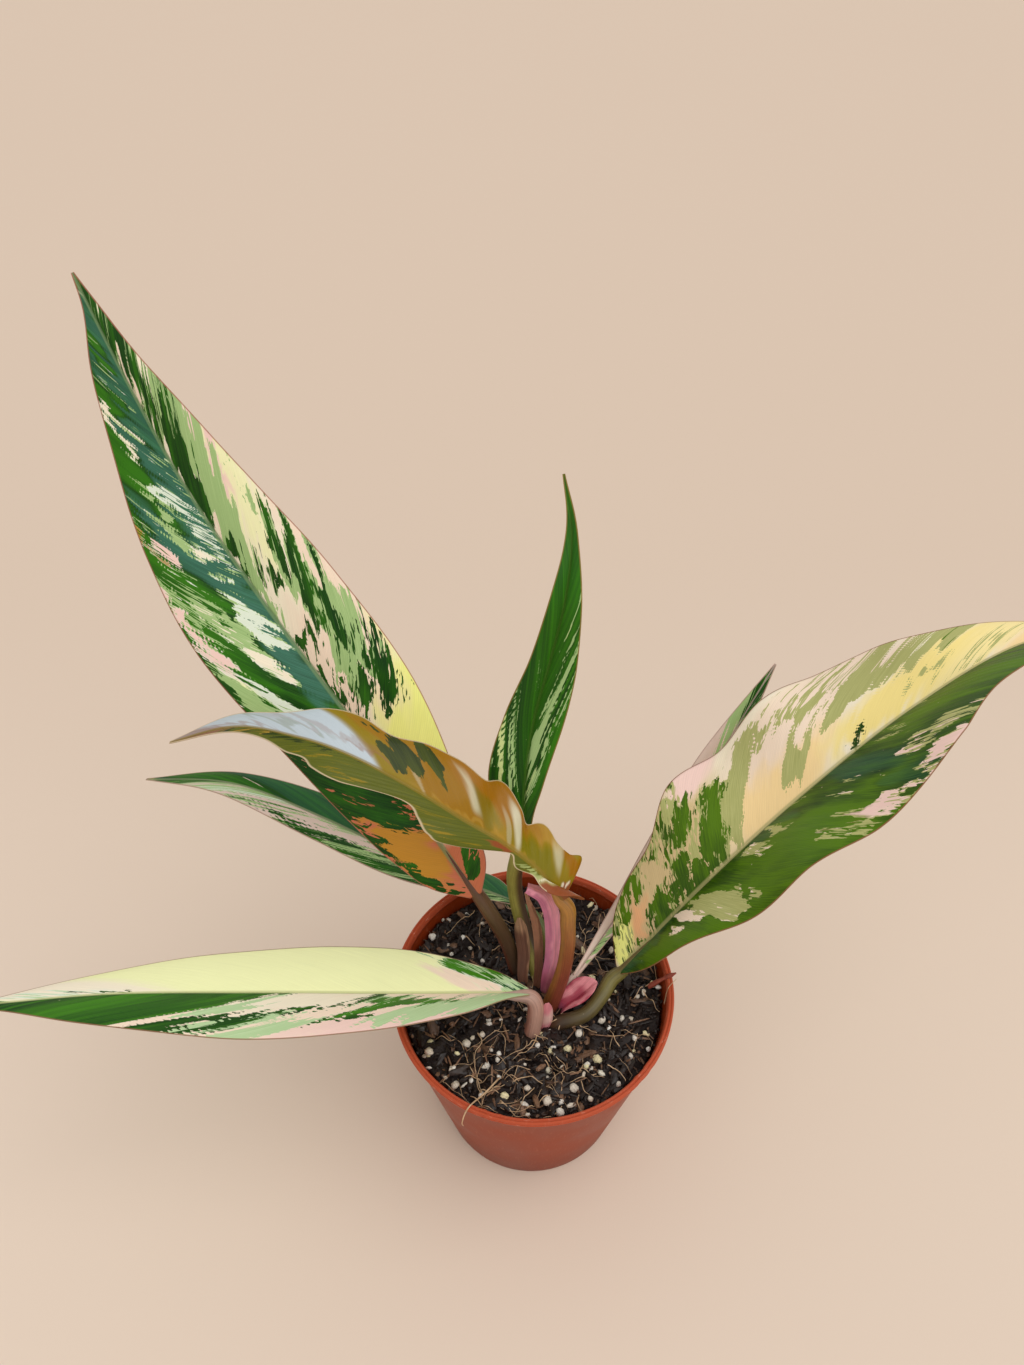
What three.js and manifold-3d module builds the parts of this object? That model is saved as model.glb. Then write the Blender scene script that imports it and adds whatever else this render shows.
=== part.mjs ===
// Potted caramel marble philodendron in a tapered plastic nursery pot.
// Millimetres, +Z up. The origin is the centre of the pot's underside, the plant's front faces -Y.
import * as THREE from 'three';
import { mergeVertices } from 'three/addons/utils/BufferGeometryUtils.js';
import Module from 'manifold-3d';

const wasm = await Module();
wasm.setup();

// Driving dimensions
const GAP = 0.3;                    // clearance between touching pieces

const POT_HEIGHT = 95;
const POT_RIM_RADIUS = 60;
const POT_BASE_RADIUS = 41.5;
const POT_WALL = 1.5;
const POT_FLOOR = 2.2;
const POT_FOOT_BEVEL = 1;
const LIP_HEIGHT = 4;
const LIP_OVERHANG = 1.6;           // how far the lip stands out from the wall under it
const LIP_SLOPE = 0.4;              // rise of the lip's underside over its overhang
const LIP_BEVEL = 0.8;
const POT_SIDES = 64;
const DRAIN_HOLES = 6;
const DRAIN_HOLE_RADIUS = 4;
const DRAIN_HOLE_SIDES = 16;
const DRAIN_CIRCLE_RADIUS = 28;

const SOIL_TOP = 86.5;
const SOIL_EDGE_GAP = 0.7;          // the mix keeps this far from the wall all round
const SOIL_HUMP_LIMIT = 2;          // the highest that the mix stands above its mean level
const SOIL_RINGS = 8;
const SOIL_SIDES = 36;

const PERLITE_GRAINS = 30;
const GRAIN_RADIUS = [1.4, 2.7];    // smallest and largest
const GRAIN_RISE = 0.25;            // how far a grain's centre lies above the mix, in radii
const BARK_CHIPS = 22;
const CHIP_LENGTH = [6, 12];
const CHIP_WIDTH = [2.6, 4.2];
const CHIP_HEIGHT = 3;
const CHIP_SINK = 0.3;              // how far a chip's middle lies below the mix's surface
const CHIP_TILT = [-0.175, 0.175];  // radians out of the level
const LOOSE_REACH = 7;              // grains and chips keep this far from the pot's wall
const CROWN = new THREE.Vector3(4, -2, 0);   // where the stem stands in the pot, seen from above
const CROWN_CLEAR = 19;             // grains and chips keep this far from the crown
const SOIL_SEED = 11;

const STEM_PROFILE = [[0, 55], [4, 57], [6.5, 62], [7.5, 70], [7, 76], [7.5, 82], [5.5, 86.5], [0, 88]];
const STEM_SIDES = 20;
const STEM_CLEAR = 2 * GAP;         // the knobbly stub lies loosely in the mix

const BLADE_THICKNESS = 0.8;
const BLADE_COLUMNS = [-1, -0.6, -0.14, 0, 0.14, 0.6, 1];   // shares of the half-width, left to right
const SHEATH_THICKNESS = 1;
const SHEATH_COLUMNS = [-1, 0, 1];
const CUPPED_COLUMNS = [-1, -0.5, 0, 0.5, 1];
const MARGIN_MIN = 0.5;             // half-width that a blade keeps at its tip
const RIB_TAPER = 0.8;              // share of its depth that the midrib loses on its way to the tip
const BLADE_TO_PETIOLE = 1.3;
const STALK_STEPS = 3;              // from each of a stalk's points to the next
const STALK_ARC_STEPS = 4;

// A repeatable draw of numbers between 0 and 1, for the grains and chips in the mix
function makeRandom(seed) {
  let state = seed;
  return () => {
    state = (state * 1664525 + 1013904223) % 4294967296;
    return state / 4294967296;
  };
}

const toVectors = (points) => points.map((p) => new THREE.Vector3(...p));
const curveThrough = (points) => new THREE.CatmullRomCurve3(toVectors(points), false, 'catmullrom', 0.5);

// Value at position u on the smooth curve through [position, value] pairs
function valueAt(pairs, u) {
  const last = pairs.length - 1;
  const slopeAfter = (i) => (pairs[i + 1][1] - pairs[i][1]) / (pairs[i + 1][0] - pairs[i][0]);
  const spanAfter = (i) => pairs[i + 1][0] - pairs[i][0];
  const slopeAt = (i) => {
    if (i === 0) return slopeAfter(0);
    if (i === last) return slopeAfter(last - 1);
    const before = spanAfter(i - 1);
    const after = spanAfter(i);
    return (slopeAfter(i - 1) * after + slopeAfter(i) * before) / (before + after);
  };
  let i = 0;
  while (i < last - 1 && u > pairs[i + 1][0]) i += 1;
  const span = spanAfter(i);
  const f = (u - pairs[i][0]) / span;
  const g = 1 - f;
  return pairs[i][1] * (1 + 2 * f) * g * g + span * slopeAt(i) * f * g * g
    + pairs[i + 1][1] * f * f * (3 - 2 * f) + span * slopeAt(i + 1) * f * f * (f - 1);
}

// Closed solids from and to geometry
function toSolid(geometry) {
  const bare = geometry.clone();
  bare.deleteAttribute('normal');
  bare.deleteAttribute('uv');
  const merged = mergeVertices(bare, 1e-4);
  return new wasm.Manifold(new wasm.Mesh({
    numProp: 3,
    vertProperties: new Float32Array(merged.attributes.position.array),
    triVerts: new Uint32Array(merged.index.array),
  }));
}

function toGeometry(solid) {
  const mesh = solid.getMesh();
  const geometry = new THREE.BufferGeometry();
  geometry.setAttribute('position', new THREE.BufferAttribute(new Float32Array(mesh.vertProperties), 3));
  geometry.setIndex(new THREE.BufferAttribute(new Uint32Array(mesh.triVerts), 1));
  return geometry;
}

// A surface of rows by columns of points, thickened into a closed solid. Both faces are split
// along the same diagonals. point(row, column, side) gives the place, with side 1 on the upper
// face and -1 on the lower one.
function sheetGeometry(rows, columns, point) {
  const positions = [];
  const index = [];
  const perFace = (rows + 1) * (columns + 1);
  for (const side of [1, -1]) {
    for (let row = 0; row <= rows; row += 1) {
      for (let column = 0; column <= columns; column += 1) {
        positions.push(...point(row, column, side).toArray());
      }
    }
  }
  const at = (row, column) => row * (columns + 1) + column;
  for (let row = 0; row < rows; row += 1) {
    for (let column = 0; column < columns; column += 1) {
      const a = at(row, column);
      const b = at(row, column + 1);
      const c = at(row + 1, column + 1);
      const d = at(row + 1, column);
      index.push(a, b, c, a, c, d);
      index.push(perFace + a, perFace + c, perFace + b, perFace + a, perFace + d, perFace + c);
    }
  }
  const rim = [];
  for (let column = 0; column < columns; column += 1) rim.push(at(0, column));
  for (let row = 0; row < rows; row += 1) rim.push(at(row, columns));
  for (let column = columns; column > 0; column -= 1) rim.push(at(rows, column));
  for (let row = rows; row > 0; row -= 1) rim.push(at(row, 0));
  rim.forEach((here, i) => {
    const next = rim[(i + 1) % rim.length];
    index.push(here, perFace + here, next);
    index.push(next, perFace + here, perFace + next);
  });
  const geometry = new THREE.BufferGeometry();
  geometry.setAttribute('position', new THREE.BufferAttribute(new Float32Array(positions), 3));
  geometry.setIndex(index);
  return geometry;
}

// One blade. It runs along its midrib from base to tip, faces says which way its upper side looks,
// left and right are its half-widths, foldLeft and foldRight how many degrees each half rises,
// and sweepLeft how far the left margin runs on towards the tip, as a share of the half-width.
// grow thickens and widens it all round, for the pocket that it stands in.
function bladeGeometry(leaf, thickness, grow = 0) {
  const midrib = curveThrough(leaf.midrib);
  const faces = curveThrough(leaf.faces);
  const rib = leaf.rib ?? 0;
  const columns = leaf.columns ?? BLADE_COLUMNS;
  const point = (row, column, side) => {
    const u = row / leaf.rows;
    const v = columns[column];
    const across = Math.abs(v);
    const centre = midrib.getPoint(u);
    const along = midrib.getTangent(u);
    const up = faces.getPoint(u);
    up.addScaledVector(along, -up.dot(along)).normalize();
    const right = new THREE.Vector3().crossVectors(along, up);
    const halfWidth = Math.max(valueAt(v < 0 ? leaf.left : leaf.right, u), MARGIN_MIN) + grow;
    const fold = THREE.MathUtils.degToRad(valueAt(v < 0 ? leaf.foldLeft : leaf.foldRight, u));
    const lean = v < 0 && leaf.sweepLeft ? valueAt(leaf.sweepLeft, u) : 0;
    const place = centre.clone()
      .addScaledVector(right, Math.sign(v) * halfWidth * across * Math.cos(fold))
      .addScaledVector(up, halfWidth * across * Math.sin(fold))
      .addScaledVector(along, halfWidth * across * lean);
    const outward = v === 0
      ? up.clone().divideScalar(Math.max(Math.cos(fold), 0.5))
      : up.clone().multiplyScalar(Math.cos(fold)).addScaledVector(right, -Math.sign(v) * Math.sin(fold));
    const ribDepth = v === 0 && side < 0 ? rib * (1 - RIB_TAPER * u) : 0;
    place.addScaledVector(outward, side * (thickness / 2 + grow) - ribDepth);
    if (row === 0) place.addScaledVector(along, -grow);
    if (row === leaf.rows) place.addScaledVector(along, grow);
    return place;
  };
  return sheetGeometry(leaf.rows, columns.length - 1, point);
}

// A stalk of one radius along a curve through its points
function stalkGeometry(points, radius, grow = 0) {
  const route = toVectors(points);
  const down = new THREE.Vector3().subVectors(route[0], route[1]).normalize();
  route[0].addScaledVector(down, grow);
  const end = route.length - 1;
  const onward = new THREE.Vector3().subVectors(route[end], route[end - 1]).normalize();
  route[end].addScaledVector(onward, grow);
  const section = new THREE.Shape();
  section.absarc(0, 0, radius + grow, 0, Math.PI * 2);
  return new THREE.ExtrudeGeometry(section, {
    extrudePath: new THREE.CatmullRomCurve3(route, false, 'catmullrom', 0.5),
    steps: STALK_STEPS * (points.length - 1),
    curveSegments: STALK_ARC_STEPS,
  });
}

// The petiole's last point lies just short of the blade's base, in line with its midrib, unless
// the blade bends off sideways above the petiole's end
function petiolePoints(leaf) {
  if (leaf.petioleBelow) return leaf.petiole;
  const midrib = curveThrough(leaf.midrib);
  const end = midrib.getPoint(0).addScaledVector(midrib.getTangent(0), -BLADE_TO_PETIOLE);
  return [...leaf.petiole, end.toArray()];
}

const LEAVES = {
  tall: {
    blade: { color: 0x5f8a4e, roughness: 0.35 },
    stalk: { color: 0x6b5238, roughness: 0.5 },
    rows: 26,
    rib: 1.6,
    midrib: [[-24, 22, 129], [-64, 51, 186], [-102, 76, 239], [-126, 90, 281], [-141, 99, 320],
      [-154, 110, 355]],
    faces: [[0, -0.9, 0.4], [0.2, -0.9, 0.4], [0.1, -0.9, 0.3]],
    left: [[0, 3], [0.03, 13], [0.08, 20], [0.15, 25], [0.25, 29], [0.4, 32], [0.55, 26],
      [0.7, 17], [0.85, 9], [0.95, 2], [1, 0.5]],
    right: [[0, 3], [0.03, 13], [0.08, 18], [0.15, 25], [0.25, 32], [0.4, 32], [0.55, 26],
      [0.7, 18], [0.85, 8], [0.95, 3], [1, 0.5]],
    foldLeft: [[0, 10], [0.35, 8], [1, 8]],
    foldRight: [[0, 20], [0.15, 12], [0.4, 18], [1, 15]],
    petiole: [[-5, 5, 74], [-6.5, 10, 82], [-7.5, 12.7, 88], [-12, 17.5, 103], [-18.4, 20.3, 118]],
    petioleRadius: 3.2,
  },
  caramel: {
    blade: { color: 0x9a6a22, roughness: 0.25 },
    stalk: { color: 0xa8702f, roughness: 0.4 },
    rows: 40,
    rib: 1.2,
    midrib: [[11, 4, 152], [0, 8, 167], [-13, 9, 182], [-27, 10, 194], [-46, 13, 209],
      [-67, 19, 219], [-86, 25, 222], [-111, 34, 218], [-141, 42, 201]],
    faces: [[0.6, -0.4, 0.7], [0.5, -0.4, 0.8], [0.2, -0.1, 0.95], [-0.3, 0, 0.95]],
    left: [[0, 2], [0.03, 8], [0.07, 8], [0.11, 3], [0.15, 5], [0.2, 2], [0.25, 12], [0.3, 11],
      [0.37, 8], [0.44, 6], [0.5, 11], [0.57, 11], [0.64, 8], [0.72, 7], [0.8, 4], [0.9, 2],
      [1, 0.5]],
    right: [[0, 2], [0.03, 16], [0.07, 14], [0.11, 14], [0.15, 17], [0.2, 12], [0.25, 15],
      [0.3, 21], [0.37, 17], [0.44, 19], [0.5, 18], [0.57, 14], [0.64, 16], [0.72, 14],
      [0.8, 8], [0.9, 5], [1, 0.5]],
    foldLeft: [[0, 100], [0.06, 90], [0.1, 0], [0.18, -20], [0.3, -15], [0.5, -12], [1, -10]],
    foldRight: [[0, 15], [0.06, 12], [0.12, 5], [0.18, -5], [0.24, 15], [0.31, 0], [0.38, 15],
      [0.46, 5], [0.54, 12], [0.64, 10], [0.76, 15], [1, 10]],
    sweepLeft: [[0, 0], [0.03, -0.9], [0.07, -0.7], [0.11, 0], [1, 0]],
    petiole: [[6, -4, 80], [7.5, -5.5, 88], [12, -3.5, 110], [13.5, -1.5, 128], [13.2, 1, 140],
      [12.9, 3, 147]],
    petioleRadius: 3,
  },
  upright: {
    blade: { color: 0x2f6b22, roughness: 0.35 },
    stalk: { color: 0x9a9440, roughness: 0.5 },
    rows: 22,
    rib: 1.2,
    midrib: [[-4, 29, 158], [-4, 35, 181], [-1, 44, 209], [5, 50, 236], [10, 55, 262],
      [12, 68, 280], [9, 80, 297]],
    faces: [[-0.15, -0.95, 0.25], [-0.15, -0.95, 0.25], [-0.2, -0.8, 0.55]],
    left: [[0, 2.5], [0.08, 9], [0.2, 15], [0.35, 12], [0.5, 8], [0.65, 6], [0.8, 3], [0.92, 1],
      [1, 0.5]],
    right: [[0, 2.5], [0.08, 4], [0.2, 8], [0.35, 12], [0.5, 11], [0.65, 7], [0.8, 3],
      [0.92, 1.5], [1, 0.5]],
    foldLeft: [[0, 20], [1, 20]],
    foldRight: [[0, 20], [1, 20]],
    petiole: [[2.6, 8, 74], [2.6, 9.5, 88], [-3, 20, 102], [-7, 27, 118], [-8, 29, 132],
      [-6.5, 29, 146]],
    petioleRadius: 3.2,
  },
  low: {
    blade: { color: 0x5d7d55, roughness: 0.4 },
    stalk: { color: 0x3f6b35, roughness: 0.5 },
    rows: 22,
    rib: 1,
    midrib: [[-6, 34, 104], [-50, 46, 117], [-92, 57, 136], [-132, 69, 145], [-178, 84, 131]],
    faces: [[0.35, 0.3, 0.9], [0.3, -0.05, 0.95], [-0.2, 0.25, 0.95]],
    left: [[0, 2], [0.05, 5], [0.15, 10], [0.3, 14], [0.5, 13], [0.7, 10], [0.85, 5.5], [1, 0.5]],
    right: [[0, 2], [0.05, 9], [0.15, 9], [0.3, 13], [0.5, 12], [0.7, 8], [0.85, 5], [1, 0.5]],
    foldLeft: [[0, 10], [0.5, 5], [1, 10]],
    foldRight: [[0, 10], [0.75, 5], [1, 10]],
    petiole: [[9.8, 5.8, 76], [8, 13, 86], [6, 24, 93], [1, 31, 99.5]],
    petioleRadius: 2.3,
  },
  flat: {
    blade: { color: 0xb9c77c, roughness: 0.4 },
    stalk: { color: 0xb08a7a, roughness: 0.5 },
    rows: 22,
    rib: 1.2,
    midrib: [[-2, -10, 105], [-58, -13, 110], [-113, -16, 116], [-169, -19, 120], [-225, -22, 116]],
    faces: [[0.05, 0.35, 0.93], [0.05, 0.27, 0.96], [-0.1, 0.15, 1]],
    left: [[0, 2.5], [0.04, 6], [0.1, 15], [0.2, 22], [0.35, 25], [0.5, 25], [0.65, 20],
      [0.8, 13], [0.92, 5], [1, 0.5]],
    right: [[0, 2.5], [0.04, 9], [0.1, 15], [0.2, 22], [0.35, 25], [0.5, 23], [0.65, 19],
      [0.8, 12], [0.92, 5], [1, 0.5]],
    foldLeft: [[0, 20], [0.2, 12], [0.4, 4], [1, 2]],
    foldRight: [[0, 14], [0.2, 9], [0.6, 0], [0.8, -8], [1, 0]],
    petiole: [[0, -9, 76], [-0.3, -16, 84], [-0.3, -17.5, 89], [0.6, -15.5, 95.5], [0.6, -12.5, 101]],
    petioleBelow: true,
    petioleRadius: 2.5,
  },
  right: {
    blade: { color: 0x9aa35a, roughness: 0.35 },
    stalk: { color: 0x6f6a35, roughness: 0.5 },
    rows: 36,
    rib: 1.6,
    midrib: [[37, 3, 101], [76, 21, 149], [116, 41, 184], [149, 56, 207], [188, 74, 221],
      [238, 101, 210]],
    faces: [[-0.7, -0.25, 0.65], [-0.6, 0.05, 0.8], [0.1, 0.2, 0.95]],
    left: [[0, 2.5], [0.03, 14], [0.08, 23], [0.15, 28], [0.22, 40], [0.3, 41], [0.4, 43],
      [0.5, 42], [0.6, 38], [0.7, 24], [0.8, 16], [0.9, 8], [1, 0.5]],
    right: [[0, 2.5], [0.03, 10], [0.08, 20], [0.15, 28], [0.22, 36], [0.3, 42], [0.4, 43],
      [0.5, 42], [0.6, 38], [0.7, 24], [0.8, 15], [0.9, 8], [1, 0.5]],
    foldLeft: [[0, 25], [0.1, 25], [0.2, 30], [0.3, 12], [0.4, 22], [0.5, 10], [0.6, 8],
      [0.7, 22], [0.8, 18], [1, 14]],
    foldRight: [[0, 20], [0.1, 30], [0.2, 15], [0.3, 20], [0.4, 10], [0.5, 12], [0.6, 20],
      [0.7, 22], [0.8, 16], [1, 14]],
    petiole: [[6, -10.5, 74], [8.5, -12.5, 81], [12, -14, 88], [22, -12, 91.5], [29, -5, 94],
      [33.3, 0.8, 97]],
    petioleRadius: 3.1,
  },
  hidden: {
    blade: { color: 0x8c9c7c, roughness: 0.4 },
    stalk: { color: 0xb9a79a, roughness: 0.5 },
    rows: 20,
    rib: 0.8,
    midrib: [[18, 3, 96], [35, 26, 101], [58, 50, 124], [85, 83, 151], [107, 104, 185]],
    faces: [[-0.3, -0.7, 0.6], [-0.35, -0.7, 0.6], [-0.4, -0.6, 0.65]],
    left: [[0, 1.5], [0.12, 3], [0.3, 5], [0.5, 8], [0.7, 8], [0.88, 4], [1, 0.5]],
    right: [[0, 1.5], [0.12, 3], [0.3, 5], [0.5, 8], [0.7, 8], [0.88, 4], [1, 0.5]],
    foldLeft: [[0, 45], [0.5, 25], [1, 15]],
    foldRight: [[0, 45], [0.5, 25], [1, 15]],
    petiole: [[10.5, 1, 76], [12.6, 0.1, 88], [14.8, 0.3, 93], [16, 1, 95]],
    petioleRadius: 1.9,
  },
};

// Sheath leaves round the crown, made as small folded blades with their foot in the mix
const SHEATHS = {
  pink_strap: {
    color: 0xd9839c,
    rows: 14,
    columns: SHEATH_COLUMNS,
    midrib: [[5.5, 0, 82], [6.2, 0.5, 96], [8.2, 3.6, 112], [7.7, 7.5, 132], [4.2, 8.6, 146],
      [-2.7, 7.7, 154]],
    faces: [[0.2, -1, 0.1], [0.2, -1, 0.2], [0.5, -0.5, 0.8]],
    left: [[0, 2], [0.3, 3.2], [0.8, 3.2], [1, 2.2]],
    right: [[0, 2], [0.3, 3.2], [0.8, 3.2], [1, 2.2]],
    foldLeft: [[0, -25], [1, -20]],
    foldRight: [[0, -25], [1, -20]],
  },
  tan_strip: {
    color: 0xa5745a,
    rows: 12,
    columns: SHEATH_COLUMNS,
    midrib: [[1, 1, 82], [2.5, 6, 100], [1.5, 11, 122], [-3.5, 10.5, 147]],
    faces: [[-0.2, -1, 0.1], [-0.3, -1, 0.2], [-0.3, -0.8, 0.5]],
    left: [[0, 1.5], [0.4, 2], [0.8, 1.8], [1, 0.6]],
    right: [[0, 1.5], [0.4, 2], [0.8, 1.8], [1, 0.6]],
    foldLeft: [[0, 20], [1, 20]],
    foldRight: [[0, 20], [1, 20]],
  },
  pink_boat: {
    color: 0xc2607a,
    rows: 10,
    columns: CUPPED_COLUMNS,
    midrib: [[11.5, -7.5, 82], [14, -7, 89], [20, -5, 93], [27, -1.5, 99.5]],
    faces: [[-0.7, -0.1, 0.7], [-0.6, -0.3, 0.9], [-0.6, -0.3, 0.9]],
    left: [[0, 2], [0.4, 3.5], [0.7, 5], [0.9, 3.5], [1, 0.8]],
    right: [[0, 2], [0.4, 2.5], [0.7, 4], [0.9, 3], [1, 0.8]],
    foldLeft: [[0, 35], [0.6, 35], [1, 25]],
    foldRight: [[0, 35], [0.6, 45], [1, 30]],
  },
  small_scale: {
    color: 0xd9a9a2,
    rows: 8,
    columns: SHEATH_COLUMNS,
    midrib: [[4.9, -16, 83], [5.6, -15.5, 92], [5.6, -13, 102]],
    faces: [[0.3, -1, 0.2], [0.3, -0.9, 0.4]],
    left: [[0, 1], [0.5, 2], [1, 0.8]],
    right: [[0, 1], [0.5, 2.3], [1, 0.8]],
    foldLeft: [[0, -20], [1, -25]],
    foldRight: [[0, -20], [1, -25]],
  },
  dry_sheath: {
    color: 0x6b4536,
    rows: 10,
    columns: CUPPED_COLUMNS,
    midrib: [[-3.5, 3, 83], [-4, 5, 91], [-3.5, 11.5, 100], [-5, 16.5, 110], [-6, 19, 116]],
    faces: [[0.1, -1, 0.2], [0, -1, 0.3]],
    left: [[0, 1.5], [0.4, 3.2], [0.8, 3], [1, 0.8]],
    right: [[0, 1.5], [0.4, 2.4], [0.8, 2.6], [1, 0.8]],
    foldLeft: [[0, -25], [1, -25]],
    foldRight: [[0, -25], [1, -25]],
  },
};

// A closed solid turned round the pot's axis from [radius, height] points
function turnedSolid(profile, sides) {
  const outline = profile.map(([r, z]) => new THREE.Vector2(r, z));
  return toSolid(new THREE.LatheGeometry(outline, sides).rotateX(Math.PI / 2));
}

// The pot: one turned wall with a rolled lip, and drain holes round the solid middle of its floor
function potWallRadius(z) {
  const wallTop = POT_RIM_RADIUS - LIP_OVERHANG;
  return THREE.MathUtils.lerp(POT_BASE_RADIUS, wallTop, z / (POT_HEIGHT - LIP_HEIGHT));
}

function potSolid() {
  const lipBottom = POT_HEIGHT - LIP_HEIGHT;
  const lipShoulder = POT_HEIGHT - LIP_BEVEL;
  const insideTop = potWallRadius(lipBottom) - POT_WALL;
  let pot = turnedSolid([
    [0, 0],
    [POT_BASE_RADIUS - POT_FOOT_BEVEL, 0],
    [POT_BASE_RADIUS, POT_FOOT_BEVEL],
    [potWallRadius(lipBottom), lipBottom],
    [POT_RIM_RADIUS, lipBottom + LIP_SLOPE],
    [POT_RIM_RADIUS, lipShoulder],
    [POT_RIM_RADIUS - LIP_BEVEL, POT_HEIGHT],
    [insideTop + LIP_BEVEL, POT_HEIGHT],
    [insideTop, lipShoulder],
    [insideTop, lipBottom],
    [potWallRadius(POT_FLOOR) - POT_WALL, POT_FLOOR],
    [0, POT_FLOOR],
  ], POT_SIDES);
  for (let i = 0; i < DRAIN_HOLES; i += 1) {
    const angle = (i * 2 * Math.PI) / DRAIN_HOLES;
    const drill = new THREE.CylinderGeometry(DRAIN_HOLE_RADIUS, DRAIN_HOLE_RADIUS, 3 * POT_FLOOR,
      DRAIN_HOLE_SIDES)
      .rotateX(Math.PI / 2)
      .translate(DRAIN_CIRCLE_RADIUS * Math.cos(angle), DRAIN_CIRCLE_RADIUS * Math.sin(angle), 0);
    pot = pot.subtract(toSolid(drill));
  }
  return pot;
}

// The stem: a short knobbly stub that the petioles grow from. grow makes it larger all round, for
// the pocket in the mix.
function stemSolid(grow = 0) {
  const middle = (STEM_PROFILE[0][1] + STEM_PROFILE.at(-1)[1]) / 2;
  const profile = STEM_PROFILE.map(([r, z]) => [r === 0 ? 0 : r + grow, z + Math.sign(z - middle) * grow]);
  return turnedSolid(profile, STEM_SIDES).translate([CROWN.x, CROWN.y, 0]);
}

// Low humps of the mix's surface: the sum of three slanting waves of 9 to 25 mm
function soilHeight(x, y) {
  return SOIL_TOP + 0.7 * Math.sin(0.31 * x + 0.6) * Math.cos(0.27 * y)
    + 0.5 * Math.sin(0.53 * y - 0.21 * x) + 0.4 * Math.sin(0.71 * x + 0.47 * y + 1.1);
}

function soilBody() {
  const bottom = POT_FLOOR + GAP;
  const bottomRadius = potWallRadius(bottom) - POT_WALL - SOIL_EDGE_GAP;
  const topRadius = potWallRadius(SOIL_TOP - SOIL_HUMP_LIMIT) - POT_WALL - SOIL_EDGE_GAP;
  const positions = [[0, 0, soilHeight(0, 0)]];
  const index = [];
  const ringPoint = (ring, side) => 1 + (ring - 1) * SOIL_SIDES + (side % SOIL_SIDES);
  for (let ring = 1; ring <= SOIL_RINGS + 1; ring += 1) {
    for (let side = 0; side < SOIL_SIDES; side += 1) {
      const angle = (2 * Math.PI * side) / SOIL_SIDES;
      const below = ring > SOIL_RINGS;
      const r = below ? bottomRadius : (topRadius * ring) / SOIL_RINGS;
      const x = r * Math.cos(angle);
      const y = r * Math.sin(angle);
      positions.push([x, y, below ? bottom : Math.min(soilHeight(x, y), SOIL_TOP + SOIL_HUMP_LIMIT)]);
    }
  }
  positions.push([0, 0, bottom]);
  const last = positions.length - 1;
  for (let side = 0; side < SOIL_SIDES; side += 1) {
    index.push(0, ringPoint(1, side), ringPoint(1, side + 1));
    index.push(last, ringPoint(SOIL_RINGS + 1, side + 1), ringPoint(SOIL_RINGS + 1, side));
    for (let ring = 1; ring <= SOIL_RINGS; ring += 1) {
      index.push(ringPoint(ring, side), ringPoint(ring + 1, side), ringPoint(ring + 1, side + 1));
      index.push(ringPoint(ring, side), ringPoint(ring + 1, side + 1), ringPoint(ring, side + 1));
    }
  }
  const geometry = new THREE.BufferGeometry();
  geometry.setAttribute('position', new THREE.BufferAttribute(new Float32Array(positions.flat()), 3));
  geometry.setIndex(index);
  return toSolid(geometry);
}

// A random place on the mix, clear of the crown and of the pot's wall
function soilPlace(random) {
  const reach = potWallRadius(SOIL_TOP) - LOOSE_REACH;
  const place = new THREE.Vector3();
  do {
    const r = reach * Math.sqrt(random());
    const angle = 2 * Math.PI * random();
    place.set(r * Math.cos(angle), r * Math.sin(angle), 0);
  } while (place.distanceTo(CROWN) < CROWN_CLEAR);
  place.z = soilHeight(place.x, place.y);
  return place;
}

function soilSolid(pockets) {
  const random = makeRandom(SOIL_SEED);
  const between = ([least, most]) => least + (most - least) * random();
  let soil = soilBody();
  for (let i = 0; i < PERLITE_GRAINS; i += 1) {
    const radius = between(GRAIN_RADIUS);
    const place = soilPlace(random);
    const grain = new THREE.IcosahedronGeometry(radius, 0)
      .rotateZ(between([0, 2 * Math.PI]))
      .translate(place.x, place.y, place.z + GRAIN_RISE * radius);
    soil = soil.add(toSolid(grain));
  }
  for (let i = 0; i < BARK_CHIPS; i += 1) {
    const length = between(CHIP_LENGTH);
    const place = soilPlace(random);
    const chip = new THREE.BoxGeometry(length, between(CHIP_WIDTH), CHIP_HEIGHT)
      .rotateY(between(CHIP_TILT))
      .rotateZ(between([0, Math.PI]))
      .translate(place.x, place.y, place.z - CHIP_SINK);
    soil = soil.add(toSolid(chip));
  }
  return pockets.reduce((rest, pocket) => rest.subtract(pocket), soil);
}

// Assembly
const plant = new THREE.Group();

function addPiece(name, geometry, surface) {
  const { color, roughness } = surface;
  const mesh = new THREE.Mesh(geometry, new THREE.MeshStandardMaterial({ color, roughness, metalness: 0 }));
  mesh.name = name;
  plant.add(mesh);
}

const petiolePockets = [];
for (const [name, leaf] of Object.entries(LEAVES)) {
  const route = petiolePoints(leaf);
  addPiece(`blade_${name}`, bladeGeometry(leaf, BLADE_THICKNESS), leaf.blade);
  addPiece(`petiole_${name}`, stalkGeometry(route, leaf.petioleRadius), leaf.stalk);
  petiolePockets.push(toSolid(stalkGeometry(route, leaf.petioleRadius, GAP)));
}

const sheathPockets = [];
for (const [name, sheath] of Object.entries(SHEATHS)) {
  addPiece(name, bladeGeometry(sheath, SHEATH_THICKNESS), { color: sheath.color, roughness: 0.5 });
  sheathPockets.push(toSolid(bladeGeometry(sheath, SHEATH_THICKNESS, GAP)));
}

const stemPockets = [...petiolePockets, ...sheathPockets];
const stem = stemPockets.reduce((rest, pocket) => rest.subtract(pocket), stemSolid());
addPiece('stem', toGeometry(stem), { color: 0x7a5a45, roughness: 0.7 });
const soil = soilSolid([...stemPockets, stemSolid(STEM_CLEAR)]);
addPiece('soil', toGeometry(soil), { color: 0x2e211a, roughness: 0.95 });
addPiece('pot', toGeometry(potSolid()), { color: 0xa54b32, roughness: 0.45 });

export default plant;
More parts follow.
